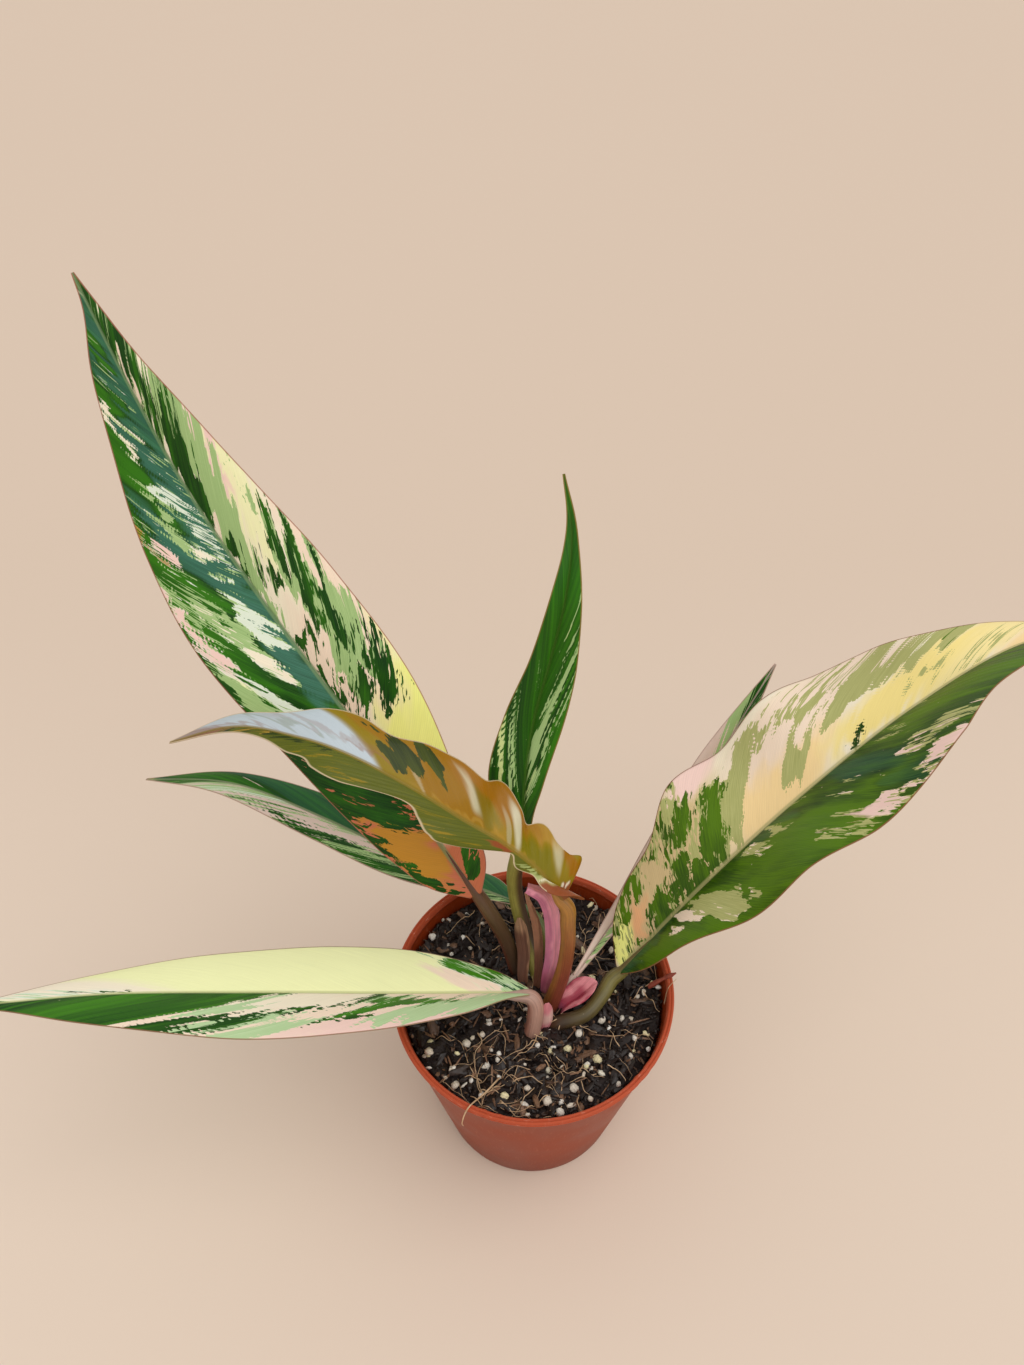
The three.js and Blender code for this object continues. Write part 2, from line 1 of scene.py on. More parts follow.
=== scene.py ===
# %% [markdown]
# # A potted caramel marble philodendron
#
# A young climbing aroid in a round nursery pot. Seven leaves stand on their petioles round a short
# crown, and every blade is a patchwork of green, cream, yellow and pink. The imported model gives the
# frame: one node for each blade, petiole, sheath, the stem, the mix and the pot. Here each of those
# nodes gets a finer surface in the same place, worked out with numpy as a function of two
# parameters, and a material made of nodes.

# %% The frame
import math
import bpy
import numpy as np
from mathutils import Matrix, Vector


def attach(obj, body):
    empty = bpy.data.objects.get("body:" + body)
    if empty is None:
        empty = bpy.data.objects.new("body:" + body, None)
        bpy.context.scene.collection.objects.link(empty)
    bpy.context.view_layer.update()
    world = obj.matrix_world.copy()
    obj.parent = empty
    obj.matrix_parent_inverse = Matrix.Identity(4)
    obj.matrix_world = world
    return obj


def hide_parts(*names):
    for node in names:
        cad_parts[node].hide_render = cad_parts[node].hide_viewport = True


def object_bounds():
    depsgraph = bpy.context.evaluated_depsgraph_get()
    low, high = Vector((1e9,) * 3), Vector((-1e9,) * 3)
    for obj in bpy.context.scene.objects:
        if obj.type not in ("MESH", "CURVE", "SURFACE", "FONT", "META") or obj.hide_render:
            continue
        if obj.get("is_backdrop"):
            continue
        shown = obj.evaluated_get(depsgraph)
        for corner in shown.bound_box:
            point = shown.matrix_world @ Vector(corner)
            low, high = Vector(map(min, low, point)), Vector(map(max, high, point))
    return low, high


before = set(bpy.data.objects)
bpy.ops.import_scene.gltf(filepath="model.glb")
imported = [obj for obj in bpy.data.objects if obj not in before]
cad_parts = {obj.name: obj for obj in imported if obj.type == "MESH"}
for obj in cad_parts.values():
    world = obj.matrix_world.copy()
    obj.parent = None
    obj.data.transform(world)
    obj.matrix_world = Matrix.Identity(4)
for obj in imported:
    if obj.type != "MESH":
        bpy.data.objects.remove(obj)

cad_low, cad_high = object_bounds()
MM = 0.001
print("nodes:", len(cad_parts), "box in mm:", [round(v / MM) for v in (*cad_low, *cad_high)])

# %% [markdown]
# ## Camera, floor and light
#
# The plant is seen from above its front, with a wide lens held close. The floor is one pale sheet,
# large enough to fill the picture to its top edge, and painted a little lighter in front of the
# pot: a pool of painted light that softens the shade round the pot. Real studio light for such a
# shot is a big diffuser overhead: a world that is a little brighter than the floor, and one wide
# soft sun from the upper right, which leaves the pot's soft shadow to its left.

# %% Camera
LENS = 27.06                    # mm
SENSOR_WIDTH = 36               # mm
CAMERA_PLACE = (-0.009, -0.228, 0.491)      # m
CAMERA_PITCH = 43.7             # degrees below the horizon
camera_data = bpy.data.cameras.new("camera")
camera_data.lens = LENS
camera_data.sensor_width = SENSOR_WIDTH
camera = bpy.data.objects.new("camera", camera_data)
camera.location = CAMERA_PLACE
camera.rotation_euler = (math.radians(90 - CAMERA_PITCH), 0, 0)
bpy.context.scene.collection.objects.link(camera)
bpy.context.scene.camera = camera
print("camera looks", CAMERA_PITCH, "degrees down through a", LENS, "mm lens")


# %% Colours
def srgb(red, green, blue):
    """A colour given as it looks on a screen, 0 to 255, as the linear colour that shaders use:
    ((share + 0.055) / 1.055) ^ 2.4 for each channel, or share / 12.92 where it is nearly black."""
    share = np.array([red, green, blue]) / 255
    linear = np.where(share <= 0.04045, share / 12.92, ((share + 0.055) / 1.055) ** 2.4)
    return (*linear.tolist(), 1.0)


# Painted light: the near colour is the floor a little lighter, laid in front of the pot.
FLOOR_FAR = srgb(222, 201, 182)
FLOOR_NEAR = srgb(233, 213, 195)
print("floor colours:", [round(v, 3) for v in FLOOR_FAR[:3] + FLOOR_NEAR[:3]])


# %% [markdown]
# ## A short way to write materials
#
# Each finish here is a network of nodes. Written out call by call such a network is long, so one
# small class holds a material and its tree, and each of its methods adds a node and hands back
# the output, ready to be used by the next one. Most natural finishes start from one fine noise
# that both colours and roughens the surface, and a function makes that start.

# %% Material helper
class Look:
    """A material. Every method adds one node and returns its output socket."""

    def __init__(self, name, **surface):
        self.material = bpy.data.materials.new(name)
        self.material.use_nodes = True
        self.tree = self.material.node_tree
        self.surface = self.tree.nodes["Principled BSDF"]
        for socket, value in surface.items():
            self.surface.inputs[socket.replace("_", " ")].default_value = value

    def add(self, kind, inputs, output=0, **settings):
        """Any node: an input that is a socket is linked, any other one is set."""
        node = self.tree.nodes.new(kind)
        for key, value in settings.items():
            setattr(node, key, value)
        for key, value in inputs.items():
            if isinstance(value, bpy.types.NodeSocket):
                self.tree.links.new(value, node.inputs[key])
            else:
                node.inputs[key].default_value = value
        return node.outputs[output]

    def attribute(self, name, output="Vector"):
        return self.add("ShaderNodeAttribute", {}, output, attribute_name=name)

    def place(self):
        return self.add("ShaderNodeTexCoord", {}, "Object")

    def parts(self, vector):
        """The three numbers of a vector, as three sockets of one node."""
        node = self.tree.nodes.new("ShaderNodeSeparateXYZ")
        self.tree.links.new(vector, node.inputs[0])
        return node.outputs[0], node.outputs[1], node.outputs[2]

    def math(self, operation, first, second=0.0, third=0.0, clamp=False):
        inputs = {0: first, 1: second, 2: third}
        return self.add("ShaderNodeMath", inputs, operation=operation, use_clamp=clamp)

    def scaled(self, vector, factors):
        return self.add("ShaderNodeVectorMath", {0: vector, 1: factors}, operation="MULTIPLY")

    def shifted(self, vector, step):
        return self.add("ShaderNodeVectorMath", {0: vector, 1: step}, operation="ADD")

    def smooth(self, value, low, high, to_low=0.0, to_high=1.0):
        """The value's way from low to high as a soft step between two other values."""
        inputs = {0: value, 1: low, 2: high, 3: to_low, 4: to_high}
        return self.add("ShaderNodeMapRange", inputs, interpolation_type="SMOOTHSTEP")

    def mix(self, share, first, second, blend="MIX"):
        inputs = {0: share, 6: first, 7: second}
        return self.add("ShaderNodeMix", inputs, 2, data_type="RGBA", blend_type=blend)

    def darkened(self, colour, share):
        """The colour times a plain number, 1 leaving it as it is."""
        grey = self.add("ShaderNodeCombineXYZ", {0: share, 1: share, 2: share})
        return self.mix(1.0, colour, grey, "MULTIPLY")

    def noise(self, vector, scale, detail=2.0, output="Fac"):
        inputs = {"Vector": vector, "Scale": scale, "Detail": detail}
        return self.add("ShaderNodeTexNoise", inputs, output)

    def cells(self, vector, scale, output="Color"):
        inputs = {"Vector": vector, "Scale": scale}
        return self.add("ShaderNodeTexVoronoi", inputs, output)

    def link(self, socket, value):
        self.tree.links.new(value, self.surface.inputs[socket])

    def bump(self, height, distance, strength=1.0):
        """Relief without geometry, distance being in metres."""
        inputs = {"Height": height, "Distance": distance, "Strength": strength}
        self.link("Normal", self.add("ShaderNodeBump", inputs))


def grained(name, waves, detail, dark, light, relief_mm, strength=1.0, **surface):
    """A finish whose colour runs from dark to light with one noise of so many waves a metre, and
    whose surface rises with it. A tuple of three stretches the noise. Hands back the look, the
    noise and the colour, which is linked until another one takes its place."""
    look = Look(name, **surface)
    stretched = isinstance(waves, tuple)
    place = look.scaled(look.place(), waves) if stretched else look.place()
    grain = look.noise(place, 1.0 if stretched else waves, detail)
    tone = look.mix(grain, dark, light)
    look.link("Base Color", tone)
    look.bump(grain, relief_mm * MM, strength)
    return look, grain, tone


# %% Floor and light
FLOOR_SIZE = 16.0
# Painted light: the lighter floor in front of the pot fades into the far colour over this span.
FLOOR_TURN = (-0.1, 0.45)       # m from the pot's axis over which the near colour turns to the far
SKY_COLOUR = (1.0, 0.985, 0.965, 1)
SKY_STRENGTH = 0.69
SUN_COLOUR = (1.0, 0.985, 0.96)
SUN_STRENGTH = 1.05
SUN_SPREAD = 65                 # degrees of sky that the diffuser fills
SUN_TILT = (18, 26, 0)          # degrees
floor_look = Look("pale floor", Roughness=0.9, Specular_IOR_Level=0.1)
floor_place = floor_look.place()
floor_depth = floor_look.parts(floor_place)[1]
floor_tone = floor_look.mix(floor_look.smooth(floor_depth, *FLOOR_TURN), FLOOR_NEAR, FLOOR_FAR)
floor_cloud = floor_look.smooth(floor_look.noise(floor_place, 1.5, 3), 0.0, 1.0, 0.0, 0.04)
floor_look.link("Base Color", floor_look.mix(floor_cloud, floor_tone, srgb(200, 180, 160)))
floor_mesh = bpy.data.meshes.new("floor")
corner = FLOOR_SIZE / 2
floor_mesh.from_pydata(
    [(-corner, -corner, 0), (corner, -corner, 0), (corner, corner, 0), (-corner, corner, 0)],
    [], [(0, 1, 2, 3)])
floor_mesh.materials.append(floor_look.material)
floor = bpy.data.objects.new("floor", floor_mesh)
bpy.context.scene.collection.objects.link(floor)
floor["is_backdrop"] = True

world = bpy.data.worlds.new("studio")
world.use_nodes = True
background = world.node_tree.nodes["Background"]
background.inputs["Color"].default_value = SKY_COLOUR
background.inputs["Strength"].default_value = SKY_STRENGTH
bpy.context.scene.world = world

sun_data = bpy.data.lights.new("diffuser", "SUN")
sun_data.energy = SUN_STRENGTH
sun_data.angle = math.radians(SUN_SPREAD)
sun_data.color = SUN_COLOUR
sun = bpy.data.objects.new("diffuser", sun_data)
sun.rotation_euler = [math.radians(v) for v in SUN_TILT]
bpy.context.scene.collection.objects.link(sun)
bpy.context.scene.view_settings.view_transform = "Standard"
print("floor", FLOOR_SIZE, "m wide, sun", SUN_STRENGTH, "W/m2 over", SUN_SPREAD, "degrees")


# %% [markdown]
# ## Curves through points
#
# A midrib is a smooth line through a few points in space, and a blade's half-width is a smooth
# curve through a few pairs of numbers. Both are cubic curves that pass through what they are
# given, and both work on whole arrays at once.

# %% Curve helpers
def unit(vectors):
    """Each vector divided by its own length."""
    return vectors / np.maximum(np.linalg.norm(vectors, axis=-1, keepdims=True), 1e-12)


def through(points, share):
    """The place at a share, 0 to 1, of the way along a smooth curve through points.
    Between two points it is the cubic whose slope at each end is half the step between that
    point's neighbours. Before the first point and after the last the curve runs straight on."""
    given = np.asarray(points, float)
    spans = len(given) - 1
    padded = np.vstack([2 * given[0] - given[1], given, 2 * given[-1] - given[-2]])
    position = np.clip(share, 0, 1) * spans
    i = np.minimum(position.astype(int), spans - 1)
    f = (position - i)[..., None]
    before, start, end, after = (padded[i + k] for k in range(4))
    slope_start = (end - before) / 2
    slope_end = (after - start) / 2
    square = -3 * start + 3 * end - 2 * slope_start - slope_end
    cube = 2 * start - 2 * end + slope_start + slope_end
    return start + slope_start * f + square * f ** 2 + cube * f ** 3


def along(pairs, position):
    """The value at a position on the smooth curve through (position, value) pairs.
    The slope at a pair is the mean of the slopes beside it, the nearer pair counting for more."""
    at, value = np.asarray(pairs, float).T
    span = np.diff(at)
    rise = np.diff(value) / span
    between = (rise[:-1] * span[1:] + rise[1:] * span[:-1]) / (span[1:] + span[:-1])
    slope = np.concatenate([rise[:1], between, rise[-1:]])
    i = np.clip(np.searchsorted(at, position, side="right") - 1, 0, len(at) - 2)
    f = (np.clip(position, at[0], at[-1]) - at[i]) / span[i]
    g = 1 - f
    return (value[i] * (1 + 2 * f) * g * g + span[i] * slope[i] * f * g * g
            + value[i + 1] * f * f * (3 - 2 * f) + span[i] * slope[i + 1] * f * f * (f - 1))


def step(value, low, high):
    """0 below low, 1 above high, and a soft S between them."""
    share = np.clip((value - low) / (high - low), 0, 1)
    return share * share * (3 - 2 * share)


def wave_field(x, y, seed, least, most, count=40):
    """A smooth random field, mostly between -1 and 1: a sum of sine waves, least to most mm long,
    each running its own way and as high as it is long, divided by the root of the squares' sum."""
    random = np.random.default_rng(seed)
    length = random.uniform(least, most, count)
    heading, phase = random.uniform(0, 2 * np.pi, (2, count))
    run = x[..., None] * np.cos(heading) + y[..., None] * np.sin(heading)
    waves = length * np.sin(2 * np.pi * run / length + phase)
    return waves.sum(-1) / np.sqrt((length ** 2).sum())


print("half-way through three points:", through([(0, 0, 0), (1, 2, 0), (2, 0, 0)], np.array(0.5)))


# %% [markdown]
# ## From arrays to pieces
#
# A piece is a mesh object at the origin whose vertices hold its place in metres. The helper takes
# points in millimetres, faces as rows of point numbers, and arrays that become attributes, which
# the materials read by name.

# %% Mesh helpers
def add_piece(name, points, faces, looks, node=None, attributes=None, smooth=True):
    """A piece on the plant's one body, standing for a node where one is named."""
    mesh = bpy.data.meshes.new(name)
    corners = faces.shape[1]
    mesh.vertices.add(len(points))
    mesh.vertices.foreach_set("co", (points * MM).astype(np.float32).ravel())
    mesh.loops.add(faces.size)
    mesh.loops.foreach_set("vertex_index", faces.astype(np.int32).ravel())
    mesh.polygons.add(len(faces))
    mesh.polygons.foreach_set("loop_start", np.arange(0, faces.size, corners, dtype=np.int32))
    mesh.polygons.foreach_set("use_smooth", np.full(len(faces), smooth))
    for look in looks:
        mesh.materials.append(look.material)
    for key, values in (attributes or {}).items():
        wide = values.ndim == 2 and values.shape[1] == 4
        kind = "FLOAT_COLOR" if wide else "FLOAT_VECTOR" if values.ndim == 2 else "FLOAT"
        layer = mesh.attributes.new(key, kind, "POINT")
        field = "color" if wide else "vector" if values.ndim == 2 else "value"
        layer.data.foreach_set(field, values.astype(np.float32).ravel())
    mesh.update(calc_edges=True)
    mesh.validate()
    piece = bpy.data.objects.new(name, mesh)
    bpy.context.scene.collection.objects.link(piece)
    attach(piece, "root")
    if node:
        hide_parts(node)
    return piece


def grid_faces(rows, columns, first=0, around=False, flip=False):
    """Faces of a grid of rows by columns of points, numbered row by row from first.
    With around, the last column joins the first one."""
    row, column = np.meshgrid(np.arange(rows - 1), np.arange(columns if around else columns - 1),
                              indexing="ij")
    after = (column + 1) % columns
    here = row * columns
    quads = np.stack([here + column, here + after, here + columns + after, here + columns + column],
                     axis=-1).reshape(-1, 4) + first
    return quads[:, ::-1] if flip else quads


print("faces of a 3 by 3 grid:", len(grid_faces(3, 3)), "and closed round:",
      len(grid_faces(3, 3, around=True)))


# %% [markdown]
# ## The shape of a blade
#
# A leaf blade is a thin sheet hung on its midrib. At each share u of the way from base to tip the
# midrib gives a place, the curve called faces says which way the upper side looks, and each half
# reaches out by its own half-width at its own angle. These are the same points and pairs that the
# solids were built from, so a fine blade lies where its solid does. What the solids leave out is
# added here: each half is a little crowned, the sheet thins towards its margin, the midrib is a
# round ridge below and a shallow channel above, and the side veins raise low ripples.
#
# In the table, all in mm and degrees: left and right are pairs of u and half-width, fold_ pairs of
# u and how far that half is turned up, lean_ pairs of u and the slant of its side veins. A right
# half that isn't given is like the left one. The radius is the petiole's, rib the midrib's height,
# and fineness the rows and the columns of a half.

# %% Leaves
LEAVES = {
    "tall": dict(
        midrib=[(-24, 22, 129), (-64, 51, 186), (-102, 76, 239), (-126, 90, 281), (-141, 99, 320),
                (-154, 110, 355)],
        faces=[(0, -0.9, 0.4), (0.2, -0.9, 0.4), (0.1, -0.9, 0.3)],
        left=[(0, 3), (0.03, 13), (0.08, 20), (0.15, 25), (0.25, 29), (0.4, 32), (0.55, 26),
              (0.7, 17), (0.85, 9), (0.95, 2), (1, 0.5)],
        right=[(0, 3), (0.03, 13), (0.08, 18), (0.15, 25), (0.25, 32), (0.4, 32), (0.55, 26),
               (0.7, 18), (0.85, 8), (0.95, 3), (1, 0.5)],
        fold_left=[(0, 10), (0.35, 8), (1, 8)],
        fold_right=[(0, 20), (0.15, 12), (0.4, 18), (1, 15)],
        petiole=[(-5, 5, 74), (-6.5, 10, 82), (-7.5, 12.7, 88), (-12, 17.5, 103),
                 (-18.4, 20.3, 118)],
        lean_left=[(0, 0.6), (0.3, 1.2), (0.6, 2.2), (1, 4)],
        lean_right=[(0, 0.6), (0.3, 1.0), (0.55, 2.4), (0.8, 4), (1, 5)],
        radius=3.2, rib=1.6, crown=0.07, fineness=(260, 48)),
    "caramel": dict(
        midrib=[(11, 4, 152), (0, 8, 167), (-13, 9, 182), (-27, 10, 194), (-46, 13, 209),
                (-67, 19, 219), (-86, 25, 222), (-111, 34, 218), (-141, 42, 201)],
        faces=[(0.6, -0.4, 0.7), (0.5, -0.4, 0.8), (0.2, -0.1, 0.95), (-0.3, 0, 0.95)],
        left=[(0, 2), (0.03, 8), (0.07, 8), (0.11, 3), (0.15, 5), (0.2, 2), (0.25, 12), (0.3, 11),
              (0.37, 8), (0.44, 6), (0.5, 11), (0.57, 11), (0.64, 8), (0.72, 7), (0.8, 4), (0.9, 2),
              (1, 0.5)],
        right=[(0, 2), (0.03, 16), (0.07, 14), (0.11, 14), (0.15, 17), (0.2, 12), (0.25, 15),
               (0.3, 21), (0.37, 17), (0.44, 19), (0.5, 18), (0.57, 14), (0.64, 16), (0.72, 14),
               (0.8, 8), (0.9, 5), (1, 0.5)],
        fold_left=[(0, 100), (0.06, 90), (0.1, 0), (0.18, -20), (0.3, -15), (0.5, -12), (1, -10)],
        fold_right=[(0, 15), (0.06, 12), (0.12, 5), (0.18, -5), (0.24, 15), (0.31, 0), (0.38, 15),
                    (0.46, 5), (0.54, 12), (0.64, 10), (0.76, 15), (1, 10)],
        sweep_left=[(0, 0), (0.03, -0.9), (0.07, -0.7), (0.11, 0), (1, 0)],
        petiole=[(6, -4, 80), (7.5, -5.5, 88), (12, -3.5, 110), (13.5, -1.5, 128), (13.2, 1, 140),
                 (12.9, 3, 147)],
        lean_left=[(0, 0.5), (0.3, 1.2), (0.6, 2), (1, 4)],
        lean_right=[(0, 0.6), (0.2, 0.85), (0.4, 1.2), (0.62, 1.6), (0.8, 3), (1, 5)],
        radius=3, rib=1.2, crown=0.05, fineness=(260, 40), wander=0.5, plain_base=0.085),
    "upright": dict(
        midrib=[(-4, 29, 158), (-4, 35, 181), (-1, 44, 209), (5, 50, 236), (10, 55, 262),
                (12, 68, 280), (9, 80, 297)],
        faces=[(-0.15, -0.95, 0.25), (-0.15, -0.95, 0.25), (-0.2, -0.8, 0.55)],
        left=[(0, 2.5), (0.08, 9), (0.2, 15), (0.35, 12), (0.5, 8), (0.65, 6), (0.8, 3), (0.92, 1),
              (1, 0.5)],
        right=[(0, 2.5), (0.08, 4), (0.2, 8), (0.35, 12), (0.5, 11), (0.65, 7), (0.8, 3),
               (0.92, 1.5), (1, 0.5)],
        fold_left=[(0, 20), (1, 20)],
        petiole=[(2.6, 8, 74), (2.6, 9.5, 88), (-3, 20, 102), (-7, 27, 118), (-8, 29, 132),
                 (-6.5, 29, 146)],
        lean_left=[(0, 2), (0.3, 5), (1, 8)],
        lean_right=[(0, 2.5), (0.3, 3.5), (0.5, 5), (1, 8)],
        radius=3.2, rib=1.2, crown=0.06, fineness=(160, 28)),
    "low": dict(
        midrib=[(-6, 34, 104), (-50, 46, 117), (-92, 57, 136), (-132, 69, 145), (-178, 84, 131)],
        faces=[(0.35, 0.3, 0.9), (0.3, -0.05, 0.95), (-0.2, 0.25, 0.95)],
        left=[(0, 2), (0.05, 5), (0.15, 10), (0.3, 14), (0.5, 13), (0.7, 10), (0.85, 5.5),
              (1, 0.5)],
        right=[(0, 2), (0.05, 9), (0.15, 9), (0.3, 13), (0.5, 12), (0.7, 8), (0.85, 5), (1, 0.5)],
        fold_left=[(0, 10), (0.5, 5), (1, 10)],
        fold_right=[(0, 10), (0.75, 5), (1, 10)],
        petiole=[(9.8, 5.8, 76), (8, 13, 86), (6, 24, 93), (1, 31, 99.5)],
        lean_left=[(0, 1.5), (0.5, 4), (1, 8)],
        radius=2.3, rib=1, crown=0.06, fineness=(160, 28)),
    "flat": dict(
        midrib=[(-2, -10, 105), (-58, -13, 110), (-113, -16, 116), (-169, -19, 120),
                (-225, -22, 116)],
        faces=[(0.05, 0.35, 0.93), (0.05, 0.27, 0.96), (-0.1, 0.15, 1)],
        left=[(0, 2.5), (0.04, 6), (0.1, 15), (0.2, 22), (0.35, 25), (0.5, 25), (0.65, 20),
              (0.8, 13), (0.92, 5), (1, 0.5)],
        right=[(0, 2.5), (0.04, 9), (0.1, 15), (0.2, 22), (0.35, 25), (0.5, 23), (0.65, 19),
               (0.8, 12), (0.92, 5), (1, 0.5)],
        fold_left=[(0, 20), (0.2, 12), (0.4, 4), (1, 2)],
        fold_right=[(0, 14), (0.2, 9), (0.6, 0), (0.8, -8), (1, 0)],
        petiole=[(0, -9, 76), (-0.3, -16, 84), (-0.3, -17.5, 89), (0.6, -15.5, 95.5),
                 (0.6, -12.5, 101)],
        lean_left=[(0, 1.2), (0.5, 2.5), (1, 6)],
        radius=3.3, rib=1.2, crown=0.05, fineness=(200, 36)),
    "right": dict(
        midrib=[(37, 3, 101), (76, 21, 149), (116, 41, 184), (149, 56, 207), (188, 74, 221),
                (238, 101, 210)],
        faces=[(-0.7, -0.25, 0.65), (-0.6, 0.05, 0.8), (0.1, 0.2, 0.95)],
        left=[(0, 2.5), (0.03, 14), (0.08, 23), (0.15, 28), (0.22, 40), (0.3, 41), (0.4, 43),
              (0.5, 42), (0.6, 38), (0.7, 24), (0.8, 16), (0.9, 8), (1, 0.5)],
        right=[(0, 2.5), (0.03, 10), (0.08, 20), (0.15, 28), (0.22, 36), (0.3, 42), (0.4, 43),
               (0.5, 42), (0.6, 38), (0.7, 24), (0.8, 15), (0.9, 8), (1, 0.5)],
        fold_left=[(0, 25), (0.1, 25), (0.2, 30), (0.3, 12), (0.4, 22), (0.5, 10), (0.6, 8),
                   (0.7, 22), (0.8, 18), (1, 14)],
        fold_right=[(0, 20), (0.1, 30), (0.2, 15), (0.3, 20), (0.4, 10), (0.5, 12), (0.6, 20),
                    (0.7, 22), (0.8, 16), (1, 14)],
        petiole=[(6, -10.5, 74), (8.5, -12.5, 81), (12, -14, 88), (22, -12, 91.5), (29, -5, 94),
                 (33.3, 0.8, 97)],
        lean_left=[(0, 0.5), (0.25, 0.6), (0.4, 1.0), (0.6, 1.9), (1, 5)],
        lean_right=[(0, 0.5), (0.25, 0.6), (0.4, 0.9), (0.6, 1.3), (1, 3)],
        radius=3.1, rib=1.6, crown=0.05, fineness=(260, 48)),
    "hidden": dict(
        midrib=[(18, 3, 96), (35, 26, 101), (58, 50, 124), (85, 83, 151), (107, 104, 185)],
        faces=[(-0.3, -0.7, 0.6), (-0.35, -0.7, 0.6), (-0.4, -0.6, 0.65)],
        left=[(0, 1.5), (0.12, 3), (0.3, 5), (0.5, 8), (0.7, 8), (0.88, 4), (1, 0.5)],
        fold_left=[(0, 45), (0.5, 25), (1, 15)],
        petiole=[(10.5, 1, 76), (12.6, 0.1, 88), (14.8, 0.3, 93), (16, 1, 95)],
        lean_left=[(0, 1.5), (0.5, 3), (1, 6)],
        radius=1.9, rib=0.8, crown=0.05, fineness=(140, 20)),
}
MARGIN_MIN = 0.5                # mm that a half reaches at least, so that a tip stays a sheet


def complete(leaf, steps):
    """Adds the blade's length, the sum of so many steps along the midrib, and what is left out of
    its right half."""
    for curve in ("left", "fold_left", "lean_left"):
        leaf.setdefault(curve.replace("left", "right"), leaf[curve])
    route = through(leaf["midrib"], np.linspace(0, 1, steps))
    leaf["length"] = np.linalg.norm(np.diff(route, axis=0), axis=1).sum()


for leaf in LEAVES.values():
    complete(leaf, 200)
print("blade lengths in mm:", {name: round(leaf["length"]) for name, leaf in LEAVES.items()})


# %% Blade surface
def midrib_frame(leaf, u):
    """The midrib's place at u, its direction, the way its upper side looks, and its right: the
    direction is the curve's slope, and the upper side is square to it."""
    small = 1e-3
    way = unit(through(leaf["midrib"], u + small) - through(leaf["midrib"], u - small))
    up = through(leaf["faces"], u)
    up = unit(up - (up * way).sum(-1, keepdims=True) * way)
    return through(leaf["midrib"], u), way, up, np.cross(way, up)


def half_width(leaf, u, v):
    """How far the blade reaches from its midrib at u, on the left where v is negative."""
    reach = np.where(v < 0, along(leaf["left"], u), along(leaf["right"], u))
    return np.maximum(reach, MARGIN_MIN)


def blade_middle(leaf, u, v):
    """The middle of the blade's thickness at (u, v): v runs from -1 at the left margin over 0 on
    the midrib to 1 at the right margin. With reach = half-width * |v|, the place is the midrib's
    plus right * sign(v) * reach * cos(fold) plus up * reach * sin(fold), and a crown of
    half-width * crown * sin(pi * |v|) rounds each half outwards. Where a leaf has a sweep, its
    left half is also drawn along the midrib by sweep * reach, which makes a lobe."""
    centre, way, up, right = midrib_frame(leaf, u)
    width = half_width(leaf, u, v)
    fold = np.radians(np.where(v < 0, along(leaf["fold_left"], u), along(leaf["fold_right"], u)))
    side = np.sign(v)
    reach = width * np.abs(v)
    crown = leaf["crown"] * width * np.sin(np.pi * np.abs(v))
    across = side * (reach * np.cos(fold) - crown * np.sin(fold))
    height = reach * np.sin(fold) + crown * np.cos(fold)
    place = centre + right * across[..., None] + up * height[..., None]
    if "sweep_left" in leaf:
        lean = np.where(v < 0, along(leaf["sweep_left"], u), 0) * reach
        place = place + way * lean[..., None]
    return place


def side_veins(leaf, u, v):
    """For each point the distance in mm along the midrib at which the side vein through it
    starts, and the point's distance in mm from the midrib. A vein leaves the midrib at a slant,
    lean mm forwards for each mm outwards, and bends on towards the tip near the margin."""
    out = half_width(leaf, u, v) * np.abs(v)
    slant = np.where(v < 0, along(leaf["lean_left"], u), along(leaf["lean_right"], u))
    return u * leaf["length"] - slant * out, out


middle_place = blade_middle(LEAVES["tall"], np.array(0.5), np.array(0.0))
print("half-way up the tall leaf, mm:", middle_place.round(1))


# %% [markdown]
# ## Painting a blade's variegation
#
# Marble variegation is cell lines: tissue with both layers green is dark, with one layer green it
# is sage, and with none it is cream, yellow or pink. A patch keeps the direction of the side veins
# because the cells divide along them. So every patch here is a soft ellipse in vein coordinates,
# and it only moves a share: how much of the tissue there is dark, how much is sage, and what
# colour the rest has. The material then decides cell by cell, which gives patches the stepped and
# streaked edges of the real ones. A third layer acts on dark tissue: above zero it paints a
# blue-green reflection of the sky into the colour, below zero it makes the green brighter.

# %% Patches
PALE = {
    "cream": srgb(252, 240, 214), "ivory": srgb(230, 240, 220), "straw": srgb(250, 248, 194),
    "yellow": srgb(250, 250, 146), "lime": srgb(251, 253, 192), "butter": srgb(255, 232, 148),
    "blush": srgb(252, 228, 204), "pink": srgb(250, 214, 202), "peach": srgb(255, 222, 162),
    # Painted shade: rose and orange are tissue colours darkened by the shade of the leaf above.
    "salmon": srgb(244, 180, 128), "rose": srgb(206, 116, 82), "orange": srgb(200, 140, 44),
    "tan": srgb(216, 190, 140), "dusty pink": srgb(232, 206, 192), "streak": srgb(206, 220, 146),
    "gold": srgb(146, 122, 8), "caramel": srgb(158, 104, 6), "olive": srgb(106, 110, 22),
    "bronze": srgb(178, 138, 50), "brown": srgb(146, 98, 70), "wine": srgb(146, 74, 32),
    # Painted light: the first two colours on the next line are a reflection of the sky and a
    # highlight.
    "painted sky reflection": srgb(196, 208, 216), "painted highlight": srgb(224, 220, 190), "strap": srgb(246, 164, 184),
    "plum": srgb(206, 118, 150), "strip": srgb(165, 116, 90), "cup": srgb(176, 66, 84),
    "cup rim": srgb(226, 140, 146), "scale": srgb(228, 180, 170), "paper": srgb(118, 78, 58),
    "paper edge": srgb(170, 130, 98),
}
